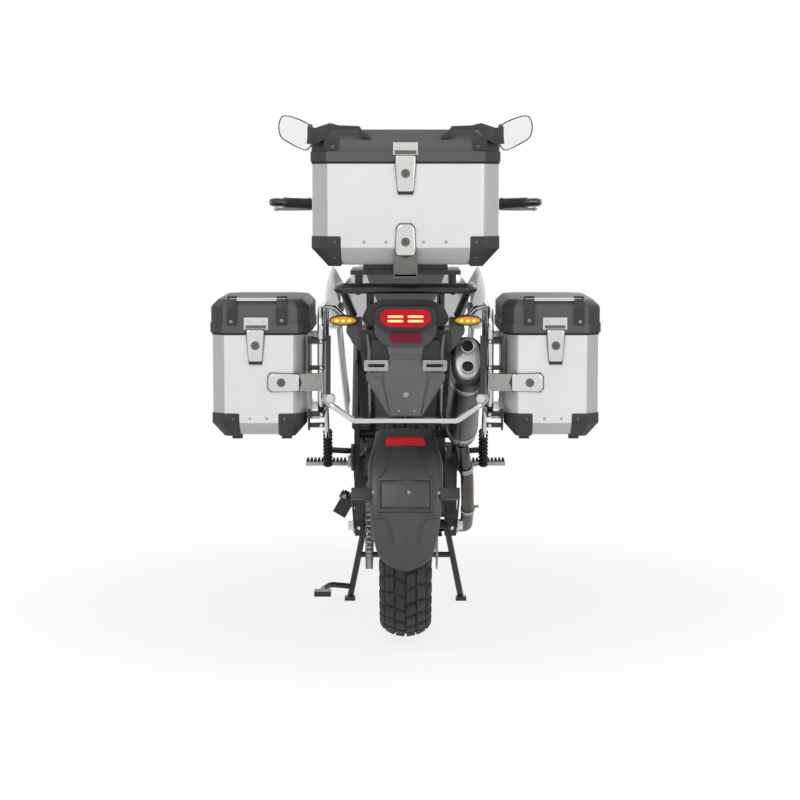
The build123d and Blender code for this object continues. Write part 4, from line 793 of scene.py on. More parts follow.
# dark strips under the hasps: painted shadow
edges.append(facing([(-20, 1297), (20, 1297), (21, 1304), (-21, 1304)], 2, TOP_BACK - 7, TOP_BACK))
side_latch_painted_shadows.append(facing(rect(390, 426, 837, 844), 2, SIDE_BACK - 7, SIDE_BACK))
piece("latch_painted_shadows", edges + both_sides(side_latch_painted_shadows), "cap_plastic", bevel=0.6)
tongue = [facing([(-31, 1140), (0, 1128), (31, 1140), (32, 1112), (32, 1077), (-32, 1077), (-32, 1112)], 3,
                 TOP_BACK - 7, TOP_BACK - 1, 3), box(-30, 30, TOP_BACK - 7, -331, 1080, 1086)]
piece("lock_tongue", tongue + screws([(-22, TOP_BACK - 7, 1090), (22, TOP_BACK - 7, 1090)], radius=4),
      "tongue_steel", bevel=0.8)
side_bracket = [facing([(231, 765), (290, 765), (282, 788), (290, 811), (231, 811)], 3, SIDE_BACK - 7,
                       SIDE_BACK - 0.2, 3), facing(rect(231, 262, 765, 811), 3, SIDE_BACK - 1, SIDE_BACK + 32, 3)]
piece("lock_brackets", both_sides(side_bracket + screws([(240, SIDE_BACK - 7, z) for z in (772, 804)], radius=4)),
      "bracket_steel", bevel=0.8)
TOP_KEYS = ((0, TOP_BACK - 11, 1353), (0, TOP_BACK - 10.5, 1172))
SIDE_KEYS = ((408, SIDE_BACK - 10.5, 889), (338, SIDE_BACK - 10, 788))


def key_slot(x, y, z):
    return [box(x - 1.1, x + 1.1, y - 2.1, y - 1.2, z - 5, z + 5)]


for name, shape_at, look in (("lock_barrels", key_boss, "barrel_steel"), ("key_slots", key_slot, "key_slot")):
    top_keys = [shape for place in TOP_KEYS for shape in shape_at(*place)]
    side_keys = [shape for place in SIDE_KEYS for shape in shape_at(*place)]
    piece(name, top_keys + both_sides(side_keys), look)


# ---- lid fittings ------------------------------------------------------------------------
BAR_BACK = [(262, 1431), (257, 1478), (240, 1473), (200, 1486), (176, 1480), (122, 1478), (114, 1466), (93, 1451),
            (94, 1445), (118, 1448), (129, 1467), (194, 1467), (205, 1454), (213, 1443), (238, 1431)]
BAR_SIDE = [(-459, 1431), (-452, 1476), (-436, 1474), (-412, 1484), (-390, 1480), (-352, 1478), (-342, 1464),
            (-326, 1450), (-327, 1445), (-350, 1448), (-360, 1467), (-404, 1467), (-414, 1452), (-424, 1442),
            (-438, 1431)]


def lid_corner(sign_x, front):
    """Moulded tie-down bar round one corner of the lid: its back leg, its side leg and the web between."""
    def placed(shape):
        corners, faces = shape
        return [(sign_x * x, TOP["y0"] + TOP["y1"] - y if front else y, z) for x, y, z in corners], faces
    back = prism(BAR_BACK, "y", TOP_BACK - 4.5, TOP_BACK + 9)
    leg = prism(BAR_SIDE, "x", 248, 260)
    web = lofted([[(262, -414, 1432), (262, -434, 1431), (236, -458, 1431), (214, -456, 1443), (214, -440, 1443),
                   (246, -410, 1440)], [(259, -412, 1470), (259, -434, 1474), (238, -455, 1474), (212, -454, 1470),
                                        (212, -442, 1470), (246, -410, 1470)]])
    foot = facing([(178, 1414), (178, 1450), (216, 1450), (216, 1414)], 4, TOP_BACK - 5.5, TOP_BACK, 3)
    return [placed(shape) for shape in (back, leg, web, foot)]


mouldings = [shape for sign_x in (-1, 1) for front in (False, True) for shape in lid_corner(sign_x, front)]
piece("top_tie_bars", mouldings, "cap_plastic", "top_lid", bevel=1.2)
piece("bracket_screws", both_sides(screw((193, TOP_BACK - 5.5, 1424))), "barrel_steel", "top_lid")
piece("top_catch", catch_shapes(0, TOP_BACK - 2, TOP["seam"]), "bright_steel", "top_lid", bevel=0.8)
# the catch's slot as a darker strip: a real slot, whose darkness is painted shade in the gap by the hasp
piece("top_catch_slot_shade", [facing(rect(-29, 29, 1404, 1414), 1, TOP_BACK - 7, TOP_BACK - 1)], "barrel_steel",
      "top_lid")
POST = [(-352, 944), (-357, 944), (-357, 990), (-351, 1012), (-343, 1023), (-328, 1023), (-326, 1014), (-334, 1004),
        (-344, 990), (-352, 984)]
posts = [plate(POST, 3, "x", x0, x1, 3) for x0, x1 in ((322, 350), (458, 484))]
for side in ("left", "right"):
    side_named("lid_handle", side, [rod((325, -344, 1013), (478, -344, 1013), 5.2)], "chrome", side + "_lid")
    side_named("handle_posts", side, posts, "cap_plastic", side + "_lid", bevel=1.0)
    side_named("lid_catch", side, catch_shapes(406, SIDE_BACK - 2, 914), "bright_steel", side + "_lid", bevel=0.8)
    # the catch's slot as a darker strip: a real slot, whose darkness is painted shade in the gap by the hasp
    side_named("lid_catch_slot_shade", side, [facing(rect(378, 434, 935, 944), 1, SIDE_BACK - 7, SIDE_BACK - 1)],
               "barrel_steel", side + "_lid")
    side_named("post_screws", side, screws([(336, SIDE_BACK - 7, 957), (474, SIDE_BACK - 7, 954)], radius=5),
               "bracket_steel", side + "_lid")


# ---- tail: lamp, signals, plate holder ---------------------------------------------------
lamp_outline = mirrored_outline([(58, 931), (86, 956), (80, 984), (66, 998)])
lamp_case = piece("tail_lamp_case", [facing(lamp_outline, 10, -393, -331)], "black_plastic", bevel=3)
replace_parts(lamp_case, "tail_lamp")
piece("tail_lamp_lens", [facing(mirrored_outline([(46, 941), (70, 957), (66, 980), (54, 990)]), 8, -397.5, -390)],
      "red_lens", bevel=2.5)
piece("tail_lamp_bars",
      [facing(rect(x0, x1, z - 3, z + 3), 3, -399, -396) for z in (970, 958) for x0, x1 in ((-48, -6), (6, 48))],
      "red_bar")
piece("lamp_surround",
      [facing(mirrored_outline([(50, 931), (108, 942), (120, 960), (104, 996), (66, 1012)]), 10, -331, -319)],
      "black_plastic", bevel=3)
piece("tail_wings",
      both_sides([facing([(118, 866), (138, 888), (162, 924), (160, 944), (118, 948)], 6, -338, -331)]),
      "grey_plastic", bevel=1.5)


def ellipses(x, rows, steps=28):
    """Skin through upright ellipses, from rows of (middle's height, half width, half height, y)."""
    turns = [2 * pi * i / steps for i in range(steps)]
    return lofted([[(x + wide * cos(turn), y, z + high * sin(turn)) for turn in turns]
                   for z, wide, high, y in rows])


housing = ellipses(168, [(958, 28, 9, -322), (958, 38, 14, -330), (957, 40, 15, -344), (957, 38, 13.4, -348),
                         (957, 35, 11, -347)])
stalk = facing([(118, 942), (146, 946), (146, 966), (118, 966)], 5, -342, -328)
LENS_Z = 956.5
lens_dome = ellipses(169, [(LENS_Z, 35, 11, -346), (LENS_Z, 34.5, 10.6, -349), (LENS_Z, 29, 8.2, -352.5),
                           (LENS_Z, 17, 4.6, -354.5), (LENS_Z, 3, 1, -355)])
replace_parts(piece("signal_housings", both_sides([housing, stalk]), "black_plastic", crease=40), "turn_signals")
piece("signal_lenses", both_sides([lens_dome]), "amber_lens", crease=40)
bulbs = [ellipses(x, [(LENS_Z, 4.5, 3.2, -356), (LENS_Z, 4.5, 3.2, -354)], 12) for x in (152, 169, 186)]
piece("signal_bulbs", both_sides(bulbs), "amber_glow")
piece("upper_reflector", [facing(rect(-41, 43, 898, 927), 4, -381, -374)], "dark_reflector", bevel=1.2)

holder = [facing(mirrored_outline([(44, 697), (106, 796), (108, 806), (106, 816), (70, 818), (42, 854), (52, 930)]),
                 6, -372, -367)]
holder += [facing(mirrored_outline([(40, 700), (60, 811), (36, 852)]), 5, -377, -371.5),
           facing(mirrored_outline([(46, 866), (46, 930)]), 5, -375, -371.5),
           box(-50, 50, -367, -345, 880, 926)]
for side in (-1, 1):
    wing = [(side * 44, 703), (side * 101, 796), (side * 98, 802), (side * 66, 800)]
    holder.append(facing(wing, 3, -374.5, -371.5))
    holder.append(pipe([(side * 100, -369, 812), (side * 99, -367, 880), (side * 104, -352, 918)], 5, 20))
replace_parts(piece("plate_carrier", holder, "holder_plastic", bevel=1.2), "plate_holder")
brackets = []
for side in (-1, 1):
    x, z = side * 79.5, 836
    outer = rounded(rect(x - 33, x + 33, z - 15, z + 15), 5, 5)
    slot_outline = rounded(rect(x - 23.5, x + 23.5, z - 4.5, z + 4.5), 4.5, 5)
    brackets.append(holed(outer, slot_outline, "y", -378, -373.6))
piece("plate_brackets", brackets, "zinc", bevel=0.5, slot="black_plastic")
piece("holder_shield", [facing(mirrored_outline([(34, 884), (62, 893), (82, 918), (86, 950)]), 8, -376.5, -371.6)],
      "grey_plastic", bevel=1.5)
piece("holder_back", [facing(mirrored_outline([(64, 806), (96, 846), (92, 905)]), 6, -366.5, -356)],
      "black_plastic", bevel=1.5)
piece("holder_bolts",
      screw((1, -377, 757), radius=8, height=5) + screws([(-18, -377, 713), (24, -377, 713)], radius=4), "zinc")


# ---- hugger ------------------------------------------------------------------------------
def around(elevation, radius, x, centre_y=0.0, centre_z=REAR_AXLE_Z):
    """Place behind an axle at an elevation in degrees; the rear axle, where no centre is given."""
    angle = radians(elevation)
    return (x, centre_y - radius * cos(angle), centre_z + radius * sin(angle))


HUGGER_SECTIONS = ((-13, 20), (-12, 36), (-10.5, 52), (-8, 68), (-4, 80), (2, 88), (10, 95), (20, 101), (30, 104),
                   (40, 104), (47, 97), (52, 90), (57, 86), (62, 84))
GUARD_SKIN, GUARD_STEPS = 3.4, 6       # wall thickness, and steps round the bend at each edge


def guard_ring(elevation, half, inside, thick, lip, centre=(0.0, REAR_AXLE_Z)):
    """Cross-section of a mudguard with rolled edges, at an elevation behind its axle's centre."""
    reach = min(24, half * 0.55)
    outer = [(half, inside - lip)]
    for step in range(GUARD_STEPS + 1):
        turn = pi / 2 * step / GUARD_STEPS
        outer.append((half - reach + reach * cos(turn), inside + thick - (lip * 0.75 + thick) * (1 - sin(turn))))
    outer += [((half - reach) * share, inside + thick + 2.2 * (1 - share) ** 2) for share in (0.66, 0.33)]
    ring = outer + [(0, inside + thick + 3.0)] + [(-x, r) for x, r in reversed(outer)]
    inner = [(max(0, abs(x) - GUARD_SKIN) * (1 if x > 0 else -1), r - GUARD_SKIN) for x, r in ring[1:-1]]
    ring += [(GUARD_SKIN - half, inside - lip)] + inner[::-1] + [(half - GUARD_SKIN, inside - lip)]
    return [around(elevation, r, x, centre[0], centre[1]) for x, r in ring]


hugger = [lofted([guard_ring(elevation, half, 333, 5.0, min(14, half * 0.25))
                  for elevation, half in HUGGER_SECTIONS])]
stay = prism([(-20, 331), (-20, 355), (-300, 493), (-314, 465)], "x", 146, 150)
tab = prism([(-292, 455), (-292, 488), (-301, 493), (-315, 465)], "x", 96, 150)
piece("hugger_stays", both_sides([stay, tab]), "cap_plastic", bevel=2)
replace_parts(piece("hugger_guard", hugger, "grey_plastic", crease=50), "hugger")
panel = lofted([[around(e, r, x)
                 for x, r in ((-69, 336), (-66, 341.5), (-60, 343), (60, 343), (66, 341.5), (69, 336))]
                for e in (17, 18, 21, 24, 27.4, 28.4)])
MM_PER_DEGREE = 5.9                    # way round the hugger
BOLT_TILT = radians(24)


def relief(way, wide, top):
    """Raised band on the hugger through (elevation, x) places."""
    rings = []
    for i, (e, x) in enumerate(way):
        back, ahead = way[max(0, i - 1)], way[min(len(way) - 1, i + 1)]
        run = Vector((ahead[1] - back[1], (ahead[0] - back[0]) * MM_PER_DEGREE, 0)).normalized()
        rings.append([around(e + run.x * share * wide / MM_PER_DEGREE, r, x - run.y * share * wide)
                      for share, r in ((-0.5, 336), (-0.25, top), (0.25, top), (0.5, 336))])
    return lofted(rings)


ridges = [relief([(14.6, 0), (1, 0), (-12, 0)], 14, 342.4), relief([(30.2, -74), (30.6, 0), (30.2, 74)], 9, 344),
          relief([(15.4, -74), (15.4, 0), (15.4, 74)], 9, 344)]
for side in (-1, 1):
    ridges.append(relief([(30.6, side * 72), (15, side * 72)], 9, 344))
    ridges.append(relief([(49, side * 40), (36, side * 56), (32, side * 72)], 8, 342))
    ridges.append(relief([(12.6, side * 88), (12.2, side * 54), (9.5, side * 46), (0, side * 36)], 10, 342.5))
piece("hugger_panel", [panel] + ridges, "grey_plastic", bevel=0.8)
bolts = []
for x, z, radius, stretched in ((9.5, 481, 342.5, 1), (-89, 480, 334, 1.02), (92, 478, 334, 1.02)):
    y = -radius * sqrt(1 - ((z - REAR_AXLE_Z) / 342 * stretched) ** 2)
    bolts += screw((x, y, z), (0, -cos(BOLT_TILT), sin(BOLT_TILT)), radius=5)
piece("hugger_bolts", bolts, "zinc")
# the rear reflector's look has a small painted glow
piece("lower_reflector", [facing(rect(-56, 56, 594, 622), 13, -219, -212)], "red_reflector_painted_glow", bevel=1.5)
piece("reflector_base", [facing(rect(-52, 52, 590, 628), 6, -213, -196),
                         facing([(-40, 612), (40, 612), (34, 640), (-34, 640)], 4, -209, -192)], "cap_plastic",
      bevel=1.5)


# ---- case corners, and painted shade on the case edges -----------------------------------
# the cut corners and base slope of each case take a darker painted shade, in place of reflected dark surroundings
for name in ("top_case_shell", "left_case_shell", "right_case_shell"):
    second_look(bpy.data.objects[name], "case_painted_shade", painted_shade_slants)


def corner_cap(case, reach, low, high, proud, sign_y, inner_side=False):
    """Moulded foot round one lower corner of a case."""
    base = case["base"]
    rings = []
    for z, inset, grow in ((low, base - 1, -3), (low + 4, base - 4, 0), (case["bottom"] + base, 0, 0),
                           (high - 3, 0, 0), (high, 0.8, -1.5)):
        cut = case["cut"] - inset * 0.7
        edge = case["x1"] + proud - inset
        back = case["y0"] - proud + inset
        outline = [(case["x1"] - reach - grow, back), (edge - cut, back), (edge, back + cut),
                   (edge, back + cut + 34 + grow), (edge - 8, back + cut + 34 + grow),
                   (edge - cut - 4, back + 10 + cut * 0.4), (case["x1"] - reach - grow, back + 10 + cut * 0.4)]
        ring = []
        for x, y in rounded(outline, 5, 2):
            if inner_side:
                x = case["x0"] + case["x1"] - x
            if sign_y > 0:
                y = case["y0"] + case["y1"] - y
            ring.append((x, y, z))
        rings.append(ring)
    return lofted(rings)


caps = []
for sign_y in (-1, 1):
    caps += both_sides([corner_cap(TOP, 79, 1106, 1187, 1.8, sign_y)])
piece("top_case_corners", caps, "cap_plastic", bevel=0.8)
for side in ("left", "right"):
    caps = [corner_cap(SIDE, 76, 638, 703, 1.8, sign_y, inner) for sign_y in (-1, 1) for inner in (False, True)]
    caps += [plate(rect(x - 14, x + 14, y - 14, y + 14), 5, "z", 630, 642, 3) for x in (326, 462)
             for y in (-300, 50)]
    side_named("case_corners", side, caps, "cap_plastic", bevel=0.8)


# ---- silencer and exhaust ----------------------------------------------------------------
OVAL_POWER = 2.5                       # 2 would be an ellipse


def oval(centre, across, up, width, height, steps=44):
    ring = []
    for step in range(steps):
        angle = 2 * pi * step / steps
        c, s = cos(angle), sin(angle)
        a = abs(c) ** (2 / OVAL_POWER) * (1 if c > 0 else -1) * width / 2
        b = abs(s) ** (2 / OVAL_POWER) * (1 if s > 0 else -1) * height / 2
        ring.append(tuple(centre + across * a + up * b))
    return ring


MUFFLER_REAR, MUFFLER_FRONT = Vector((170, -300, 845)), Vector((165, 250, 575))
MUFFLER_LENGTH = (MUFFLER_FRONT - MUFFLER_REAR).length
MUFFLER_WAY = (MUFFLER_FRONT - MUFFLER_REAR).normalized()
MUFFLER_ACROSS = (Vector((1, 0, 0)) - MUFFLER_WAY * MUFFLER_WAY.x).normalized()
MUFFLER_UP = MUFFLER_WAY.cross(MUFFLER_ACROSS).normalized()
if MUFFLER_UP.z < 0:
    MUFFLER_UP = -MUFFLER_UP


def muffler_ring(along, wide, high, lift=0.0):
    return oval(MUFFLER_REAR + MUFFLER_WAY * along + MUFFLER_UP * lift, MUFFLER_ACROSS, MUFFLER_UP, wide, high)


can = lofted([muffler_ring(along, 92 * share, 150 * share) for along, share in
              ((0, 0.86), (3, 0.92), (9, 0.97), (20, 0.99), (40, 1.0), (MUFFLER_LENGTH - 115, 1.0))]
             + [muffler_ring(MUFFLER_LENGTH - 108, 90, 147), muffler_ring(MUFFLER_LENGTH - 60, 74, 112),
                muffler_ring(MUFFLER_LENGTH - 14, 52, 62), muffler_ring(MUFFLER_LENGTH, 50, 56)])
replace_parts(piece("silencer_can", [can], "muffler_shell", crease=26), "muffler")
end_plate = lofted([muffler_ring(-9, 64, 111, 4), muffler_ring(-8, 68, 116, 4), muffler_ring(-1, 72, 121, 3),
                    muffler_ring(4, 74, 124, 2)])
straps = []
for along in (64, MUFFLER_LENGTH - 150):
    straps.append(lofted([muffler_ring(along + d, 92 + grow, 150 + grow) for d, grow in
                          ((-11, 0), (-10, 3.4), (10, 3.4), (11, 0))]))
piece("silencer_end", [end_plate], "satin_steel", bevel=0.8)
piece("silencer_straps", straps, "zinc")
outlets, dark_holes = [], []
for lift in (32, -27):
    start = MUFFLER_REAR + MUFFLER_UP * lift
    outlets.append(turned([(6, 19), (20, 19), (21.5, 18.2), (21.5, 15.8), (8, 15.4)], start, -MUFFLER_WAY, 28))
    dark_holes.append(turned([(7.5, 15.6), (10.5, 15.6)], start, -MUFFLER_WAY, 28))
rivet_ring = []
for step in range(12):
    angle = 2 * pi * step / 12 + 0.26
    spot = MUFFLER_REAR + MUFFLER_WAY * 15 + (MUFFLER_ACROSS * 45.4 * cos(angle)
                                              + MUFFLER_UP * 74 * sin(angle)) * 0.99
    out = (MUFFLER_ACROSS * cos(angle) / 46 + MUFFLER_UP * sin(angle) / 75).normalized()
    rivet_ring.append(turned([(-1, 3.2), (0.8, 3.0), (1.6, 1.4)], spot, out, 10))
piece("silencer_outlets", outlets, "chrome")
piece("silencer_holes", dark_holes, "seal_rubber", slot="black_metal")
piece("silencer_rivets", rivet_ring, "zinc")

bands = []
for start, way, radius, wide in (
        ((184, 362, 464), (-0.12, -0.74, 0.66), 23.5, 22),
        ((196, 540, 310), (0.0, -0.75, 0.66), 22.5, 16),
        ((60, 800, 226), (0.7, -0.7, 0.0), 23, 18)):
    middle = Vector(start)
    bands.append(turned([(-wide / 2, radius - 3), (-wide / 2, radius), (wide / 2, radius), (wide / 2, radius - 3)],
                        middle, way, 28))
    bands.append(rod(middle + Vector((radius - 4, 0, 6)), middle + Vector((radius + 12, 0, 8)), 5, 10))
for x in (-48, 48):
    bands.append(lofted([oval(Vector((x, 1013 + d, 668 - d * 0.7)), Vector((1, 0, 0)), Vector((0, 0.58, 0.81)), w,
                              h, 24) for d, w, h in ((0, 66, 44), (9, 66, 44), (10, 60, 38))]))
    bands.append(turned([(-7, 19), (-7, 21), (7, 21), (7, 19)], (x, 1046, 520), (0, 0, 1), 20))
piece("exhaust_clamps", bands, "zinc", slot="steel_pipe")


# ---- pannier frame fittings --------------------------------------------------------------
clips, clip_bolts = [], []
for z0, z1 in ((812, 912), (654, 712)):
    clips.append(prism([(-334, z0 + 10), (-326, z0), (-304, z0), (-304, z1), (-326, z1), (-334, z1 - 10)], "x", 262,
                       267))
    for z in (z0 + 14, z1 - 14):
        clips.append(plate([(222, -328), (268, -326), (268, -314), (222, -302)], 4, "z", z - 6, z + 6, 3))
        clip_bolts += screw((231, -327, z), radius=5)
strap = lofted([[(x, y, z) for x, y in ((204, y0 - 2), (218, y0 - 2), (218, y0 + 2), (204, y0 + 2))]
                for z, y0 in ((744, -352), (760, -348), (900, -320), (914, -318))])
tab = box(212, 234, -322, -316, 898, 912)
piece("rack_clips", both_sides(clips + [strap, tab]), "cap_plastic", bevel=1.2)
clamps = [turned([(0, 11), (2, 11), (2.4, 8), (6, 7.6), (7.4, 6), (7.4, 3.4), (4, 3)], (205, -364, 745), (0, -1, 0),
                 20)]
clamp_blocks = [facing([(190, 744), (196, 758), (224, 756), (224, 738), (212, 722), (198, 722)], 5, -364, -344, 3)]
piece("rack_clamps", both_sides(clamp_blocks), "zinc", bevel=1.5)
piece("rack_bolts", both_sides(clamps + clip_bolts), "bright_steel")
pads = []
for x in (-130, 130):
    for y in (-290, -60):
        pads += [turned([(0, 11), (2, 12), (7, 12), (8, 10)], (x, y, 1084), (0, 0, 1), 20)]
        pads += [turned([(0, 8), (3, 8), (4, 6)], (x, y, 1028), (0, 0, -1), 6)]
piece("rack_rubbers", pads, "grip_rubber")


# ---- handlebar controls and mirrors ------------------------------------------------------
BAR_BEND, BAR_END = Vector((205, 1052.3, 1262)), Vector((446, 955, 1270))   # the bar's straight outer length
BAR_WAY = (BAR_END - BAR_BEND).normalized()


def bar_point(x):
    return BAR_BEND + (BAR_END - BAR_BEND) * ((x - BAR_BEND.x) / (BAR_END.x - BAR_BEND.x))


def along_bar(x, ahead=0.0, up=0.0):
    return bar_point(x) + Vector((0, ahead, up))


grip_profile = [(0, 11), (0, 19), (3.5, 19.5), (5, 17)]
for groove in (8 + 5.6 * index for index in range(13)):
    grip_profile += [(groove, 16.8), (groove + 0.8, 15.6), (groove + 3.0, 15.6), (groove + 3.8, 16.8)]
grip_profile += [(82, 17), (85, 18), (87, 17.4), (87, 11)]
grips = [turned(grip_profile, bar_point(318), BAR_WAY, 36)]
ends = [turned([(0, 11), (0, 17.4), (4.5, 17.4), (5.5, 14.4), (36, 14.4), (44, 13.2), (47, 9)], bar_point(399),
               BAR_WAY, 32)]
housing = [turned([(0, 12), (0, 17), (4, 20), (24, 21.5), (38, 20.5), (42, 17), (42, 12)], bar_point(272), BAR_WAY,
                  28), turned([(0, 12), (0, 16.5), (18, 16.5), (18, 12)], bar_point(248), BAR_WAY, 24)]
levers = [pipe([along_bar(286, 14, -8), along_bar(292, 40, -14), along_bar(312, 56, -18), along_bar(372, 60, -21),
                along_bar(428, 54, -22)], 5.6, 22, 12),
          turned([(-7, 3), (-5, 6.6), (2, 7.6), (7, 5), (8.5, 2)], along_bar(430, 54, -22), BAR_WAY, 16)]
mounts = [pipe([along_bar(270, 6, 4), along_bar(276, 26, -2), along_bar(290, 44, -10)], 9.5, 16, 12)]
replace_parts(piece("grips", both_sides(grips), "grip_rubber", "steering", crease=20), "bar_controls")
piece("bar_ends", both_sides(ends), "dark_paint", "steering")
piece("switch_housings", both_sides(housing), "black_plastic", "steering", crease=24)
piece("levers", both_sides(levers), "zinc", "steering")
piece("lever_mounts", both_sides(mounts), "dark_paint", "steering")
reservoir = [turned([(0, 16), (0, 21), (2, 22), (26, 22), (28, 20.5), (33, 20.5), (34.5, 19)],
                    along_bar(244, 40, 6), (0.0, -0.1, 1), 28), rod(along_bar(252, 30, 4), along_bar(262, 6, 2), 7)]
piece("fluid_reservoir", reservoir, "black_plastic", "steering")
cables = both_sides([pipe([along_bar(276, 30, -6), along_bar(240, 38, -10), (170, 1104, 1230), (112, 1116, 1160),
                           (84, 1136, 1084), (78, 1150, 1024)], 4, 50, 10)])
piece("control_cables", cables, "seal_rubber", "steering", slot="grip_rubber")

MIRROR = [(300, 1470), (321, 1434), (364, 1452), (412, 1480), (419, 1521), (407, 1553), (384, 1554), (341, 1540),
          (302, 1518)]
MIRROR_MIDDLE = Vector((361, 1497))


def mirror_ring(y, scale, inset=0.0):
    """The mirror's outline at a place along the machine, scaled and inset about its middle."""
    ring = []
    for x, z in rounded(MIRROR, 17):
        out = Vector((x, z)) - MIRROR_MIDDLE
        near = MIRROR_MIDDLE + out * (scale * (out.length - inset) / out.length)
        ring.append((near.x, y, near.y))
    return ring


mirror_shell = lofted([mirror_ring(*row) for row in (
    (926, 1, 5.5), (923.6, 1,
                    4.6), (921.5, 1, 3.2), (921.5, 1, 1.0), (924, 1), (934, 0.985), (944, 0.9), (951, 0.74),
    (954.5, 0.5), (955.5, 0.2))])
stem = pipe([along_bar(279, 4, 12), along_bar(281, 2, 60), (290, 950, 1400), (303, 946, 1452), (326, 940, 1492)],
            6.2, 40, 16)
boss = turned([(0, 11), (10, 11), (14, 8), (20, 7)], along_bar(279, 4, 14), (0.02, -0.02, 1), 18)
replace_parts(piece("mirror_shells", both_sides([mirror_shell, stem, boss]), "black_plastic", "steering", crease=36),
            "mirrors")
piece("mirror_glasses", both_sides([lofted([mirror_ring(922.9, 1, 3.6), mirror_ring(924.5, 1, 3.4)])]),
      "mirror_glass", "steering")


# ---- pegs --------------------------------------------------------------------------------
hanger = plate([(560, 426), (604, 438), (604, 502), (550, 516), (508, 506), (500, 448)], 10, "x", 162.3, 171)
peg_frame = [plate(rect(508, 554, 450, 463), 4, "x", 172, 312, 3),
             plate(rect(500, 562, 446, 480), 6, "x", 168, 180, 3)]
teeth = []
for index in range(11):
    x = 186 + index * 11.6
    teeth.append(prism([(x, 462.5), (x + 8.6, 462.5), (x + 7.2, 472), (x + 1.4, 472)], "y", 511, 551))
arm = pipe([(166, 540, 494), (184, 520, 496), (234, 430, 510), (234, 335, 540), (235, 312, 548)], 9, 20, 16)
PEG_PIVOT = (236, 310, 530)
peg_core = turned([(-58, 8), (-56, 10), (56, 10), (58, 8)], PEG_PIVOT, (0, 0, 1), 20)
rings_profile = [(-56, 10)]
for index in range(10):
    z = -54 + index * 11
    rings_profile += [(z, 13), (z + 1.5, 14.6), (z + 6.5, 14.6), (z + 8, 13), (z + 9.4, 11.5)]
rings_profile += [(57, 11.5), (58, 10)]
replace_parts(piece("peg_hangers", both_sides([hanger, arm]), "cast_alloy", bevel=1.2), "footpegs")
piece("peg_plates", both_sides(peg_frame), "zinc", bevel=1.0)
piece("peg_teeth", both_sides(teeth), "grip_rubber", bevel=0.6, segments=1)
piece("folded_pegs", both_sides([peg_core, turned(rings_profile, PEG_PIVOT, (0, 0, 1), 24)]), "grip_rubber",
      crease=20)
piece("peg_bolts", both_sides(screw((171, 586, 470), (1, 0, 0), 8, 5) + screw((171, 534, 494), (1, 0, 0), 7, 5)),
      "zinc")


# ---- chain and sprockets -----------------------------------------------------------------
PITCH, LINKS, CHAIN_X = 15.875, 120, -105.0
REAR_TEETH, FRONT_TEETH = 48, 16
SHAFT_RISE = 72.0                      # output shaft above the rear axle
REAR_PITCH = PITCH / 2 / sin(pi / REAR_TEETH)
FRONT_PITCH = PITCH / 2 / sin(pi / FRONT_TEETH)


def chain_layout():
    """Output shaft's place and points one pitch apart round both sprockets."""
    gap, length = REAR_PITCH - FRONT_PITCH, LINKS * PITCH
    centres = length / 2 - pi * (REAR_PITCH + FRONT_PITCH) / 2
    for _ in range(20):
        centres = (length - pi * (REAR_PITCH + FRONT_PITCH) - gap ** 2 / centres) / 2
    shaft = Vector((sqrt(centres ** 2 - SHAFT_RISE ** 2), REAR_AXLE_Z + SHAFT_RISE))
    rear = Vector((0, REAR_AXLE_Z))
    slope = atan2(shaft.y - rear.y, shaft.x - rear.x)
    lean = atan2(gap, sqrt(centres ** 2 - gap ** 2))
    top, low = slope + pi / 2 - lean, slope - pi / 2 + lean
    path = []
    for i in range(61):
        angle = top + (2 * pi - (top - low)) * i / 60
        path.append(rear + Vector((cos(angle), sin(angle))) * REAR_PITCH)
    for i in range(41):
        angle = low + (top - low) * i / 40
        path.append(shaft + Vector((cos(angle), sin(angle))) * FRONT_PITCH)
    path.append(path[0])
    total = sum((b - a).length for a, b in zip(path, path[1:]))
    pins, walked, index, step = [], 0.0, 0, total / LINKS
    for link in range(LINKS):
        goal = link * step
        while walked + (path[index + 1] - path[index]).length < goal:
            walked += (path[index + 1] - path[index]).length
            index += 1
        way = path[index + 1] - path[index]
        pins.append(path[index] + way * ((goal - walked) / way.length))
    return shaft, pins


SHAFT, PINS = chain_layout()


LINK_RADIUS, LINK_WAIST = 6.6, 4.6


def link_plate(start, end, x0, x1):
    """Side plate with a round eye at each pin and a waist between them."""
    way = (end - start).normalized()
    across = Vector((-way.y, way.x))
    outline = []
    for centre, first in ((start, 90), (end, -90)):
        for i in range(6):
            angle = radians(first + 36 * i)
            outline.append(centre + (way * cos(angle) + across * sin(angle)) * LINK_RADIUS)
        if centre is start:
            outline.append((start + end) / 2 - across * LINK_WAIST)
    outline.append((start + end) / 2 + across * LINK_WAIST)
    return prism([tuple(point) for point in outline], "x", x0, x1)


plates, pins = [], []
for index, start in enumerate(PINS):
    end = PINS[(index + 1) % LINKS]
    out = 8.2 if index % 2 else 5.6
    for side in (-1, 1):
        low, high = sorted((CHAIN_X + side * out, CHAIN_X + side * (out + 1.9)))
        plates.append(link_plate(start, end, low, high))
    pins.append(turned([(-10, 2), (-9.6, 2.6), (9.6, 2.6), (10, 2)], (CHAIN_X, start.x, start.y), (1, 0, 0), 8))
    pins.append(turned([(-5.4, 5.0), (5.4, 5.0)], (CHAIN_X, start.x, start.y), (1, 0, 0), 10))
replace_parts(piece("chain_plates", plates, "chain_steel", crease=30), "drive_chain")
piece("chain_rollers", pins, "zinc", slot="chain_steel")


